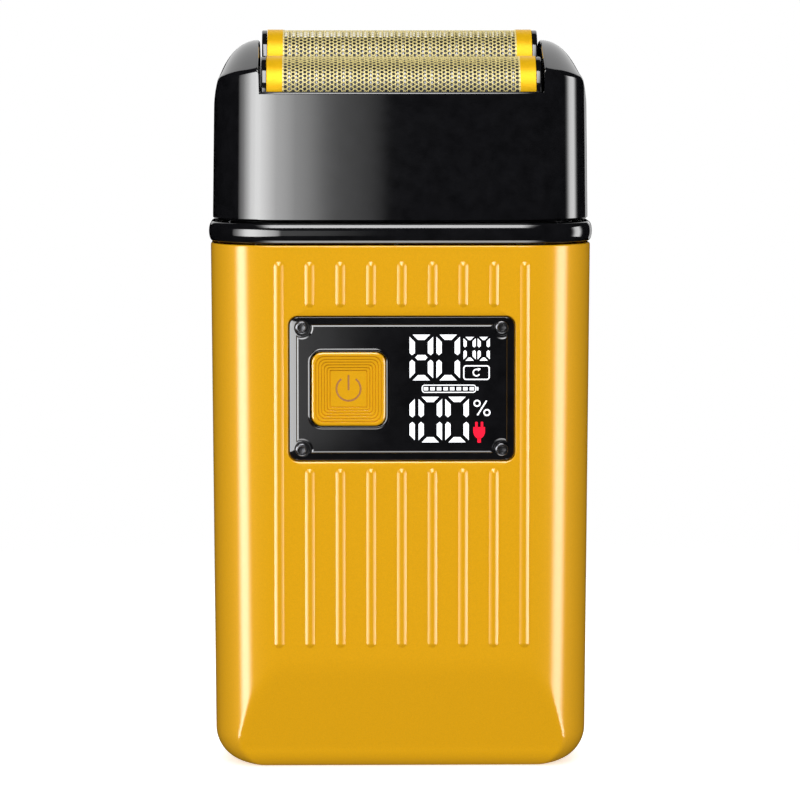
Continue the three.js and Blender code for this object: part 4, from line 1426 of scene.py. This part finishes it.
HEAD_PANEL = {"tall": 0.15, "height": 0.09}  # metres; the panels beside the head and the collar
LENS = 190.8
LOOK_AT = 0.0592  # metres
LEFT_FADE = (
    (0.0, 0.05), (0.14, 0.25), (0.24, 0.57), (0.31, 0.89), (0.38, 1.0), (0.45, 1.0), (0.51, 0.92),
    (0.64, 0.7), (0.79, 0.48), (0.85, 0.36), (0.875, 0.27), (0.89, 0.19), (0.905, 0.13), (0.92, 0.09),
    (0.97, 0.05), (1.0, 0.0),
)
EDGE_FADE = ((0.0, 0.0), (0.12, 0.12), (0.35, 0.95), (0.5, 1.0), (0.65, 0.95), (0.88, 0.12), (1.0, 0.0))


def faded_floor():
    """Matt white floor that fades out towards its rim, so that it has no visible edge."""
    cover = finish("studio_floor", colours().floor, 0.6, grain=30, mottle=0.01, bump=0.0)
    tree = cover.node_tree
    shader = tree.nodes["Principled BSDF"]
    shader.inputs["Emission Color"].default_value = (1, 1, 1, 1)
    shader.inputs["Emission Strength"].default_value = 0.55
    place = node(tree, "ShaderNodeTexCoord")
    reach = node(tree, "ShaderNodeVectorMath", operation="LENGTH")
    fall = node(tree, "ShaderNodeMapRange", interpolation_type="SMOOTHSTEP")
    for key, value in (("From Min", 0.1), ("From Max", 0.3), ("To Min", 1.0), ("To Max", 0.0)):
        fall.inputs[key].default_value = value
    tree.links.new(place.outputs["Object"], reach.inputs[0])
    tree.links.new(reach.outputs["Value"], fall.inputs["Value"])
    tree.links.new(fall.outputs["Result"], shader.inputs["Alpha"])
    return cover


def studio_world():
    """A plain white backdrop that gives even light from all sides."""
    world = bpy.data.worlds.new("studio")
    world.use_nodes = True
    tree = world.node_tree
    even = tree.nodes["Background"]
    even.inputs["Strength"].default_value = 0.64
    even.inputs["Color"].default_value = (0.98, 0.99, 1.0, 1)
    white = node(tree, "ShaderNodeBackground", Color=(1, 1, 1, 1), Strength=1.0)
    seen = node(tree, "ShaderNodeLightPath")
    mix = node(tree, "ShaderNodeMixShader")
    tree.links.new(seen.outputs["Is Camera Ray"], mix.inputs["Fac"])
    tree.links.new(even.outputs["Background"], mix.inputs[1])
    tree.links.new(white.outputs["Background"], mix.inputs[2])
    tree.links.new(mix.outputs["Shader"], tree.nodes["World Output"].inputs["Surface"])
    return world


class SHAVER_OT_stage(bpy.types.Operator):
    """Pale floor, soft lights and the camera"""

    bl_idname = "shaver.stage"
    bl_label = "Stage"

    def execute(self, context):
        bm = bmesh.new()
        bmesh.ops.create_circle(bm, cap_ends=True, segments=96, radius=0.3)
        floor = loose("studio_floor", bm)
        floor.data.materials.append(faded_floor())
        floor.visible_diffuse = False
        floor.visible_glossy = False
        floor.visible_shadow = False
        context.scene.view_settings.view_transform = "Standard"
        context.scene.world = studio_world()
        context.scene.world.cycles_visibility.glossy = False  # the backdrop isn't mirrored in the object
        warm, rosy = (1.0, 0.97, 0.9), (1.0, 0.9, 0.84)
        black, gold = receivers("black_pieces", False), receivers("gold_pieces", True)
        soft_panel("left_panel", -41.5, 0, 0.3, 0.53, glow=10.5, fade=LEFT_FADE, only=black, **HEAD_PANEL)
        soft_panel("right_panel", 101, 0, 0.3, 0.15, glow=6.0, fade=EDGE_FADE, only=black, **HEAD_PANEL)
        soft_panel("right_rim", 152, 0, 0.35, 0.09, glow=0.9, only=black, **HEAD_PANEL)
        soft_panel("left_strip", -68, 0, 0.3, 0.15, 0.3, 11.5, warm, fade=EDGE_FADE, only=gold)
        soft_panel("right_strip", 69.5, 0, 0.3, 0.17, 0.3, 9.5, rosy, fade=EDGE_FADE, only=gold)
        soft_panel("low_panel", 0, -60, 0.35, 0.5, 0.25, 5.0, fade=EDGE_FADE, only=black)
        soft_panel("back_panel", 180, 30, 0.9, 0.9, 0.75, 0.9, only=black)
        soft_panel("sky_panel", -8, 52, 0.6, 0.7, 0.45, 9.0, fade=EDGE_FADE)
        soft_panel("back_fill", 172, 32, 0.9, 0.8, 0.6, 1.8, fill=True)
        soft_panel("front_fill", -8, 32, 0.9, 0.8, 0.6, 3.0, fill=True)
        camera = bpy.data.objects.new("camera", bpy.data.cameras.new("camera"))
        camera.data.lens = LENS
        camera.data.sensor_width = 36
        camera.data.clip_start = 0.02
        target = Vector((0, 0, LOOK_AT))
        camera.location = around(-1.1, 5.0, 0.7, target.z)
        camera.rotation_euler = (target - camera.location).to_track_quat("-Z", "Y").to_euler()
        context.scene.collection.objects.link(camera)
        context.scene.camera = camera
        return {"FINISHED"}


# ---------- add-on ----------

STEPS = (
    SHAVER_OT_kept,
    SHAVER_OT_housings,
    SHAVER_OT_panel,
    SHAVER_OT_figures,
    SHAVER_OT_screws,
    SHAVER_OT_button,
    SHAVER_OT_collar,
    SHAVER_OT_head,
    SHAVER_OT_foils,
    SHAVER_OT_foil_frames,
    SHAVER_OT_cutters,
    SHAVER_OT_springs,
    SHAVER_OT_drive,
    SHAVER_OT_stage,
)


class SHAVER_PT_sidebar(bpy.types.Panel):
    """Sizes, colours and the building steps"""

    bl_idname = "SHAVER_PT_sidebar"
    bl_label = "Twin-foil shaver"
    bl_space_type = "VIEW_3D"
    bl_region_type = "UI"
    bl_category = "Shaver"

    def draw(self, context):
        for group in (context.scene.shaver_sizes, context.scene.shaver_colours):
            for key in group.bl_rna.properties.keys():
                if key not in {"rna_type", "name"}:
                    self.layout.prop(group, key)
        for step in STEPS:
            self.layout.operator(step.bl_idname)


CLASSES = (ShaverSizes, ShaverColours, *STEPS, SHAVER_PT_sidebar)


def register():
    for cls in CLASSES:
        bpy.utils.register_class(cls)
    bpy.types.Scene.shaver_sizes = bpy.props.PointerProperty(type=ShaverSizes)
    bpy.types.Scene.shaver_colours = bpy.props.PointerProperty(type=ShaverColours)


def unregister():
    del bpy.types.Scene.shaver_colours
    del bpy.types.Scene.shaver_sizes
    for cls in reversed(CLASSES):
        bpy.utils.unregister_class(cls)


def main():
    register()
    for step in STEPS:
        group, name = step.bl_idname.split(".")
        getattr(getattr(bpy.ops, group), name)()


if __name__ == "__main__":
    main()
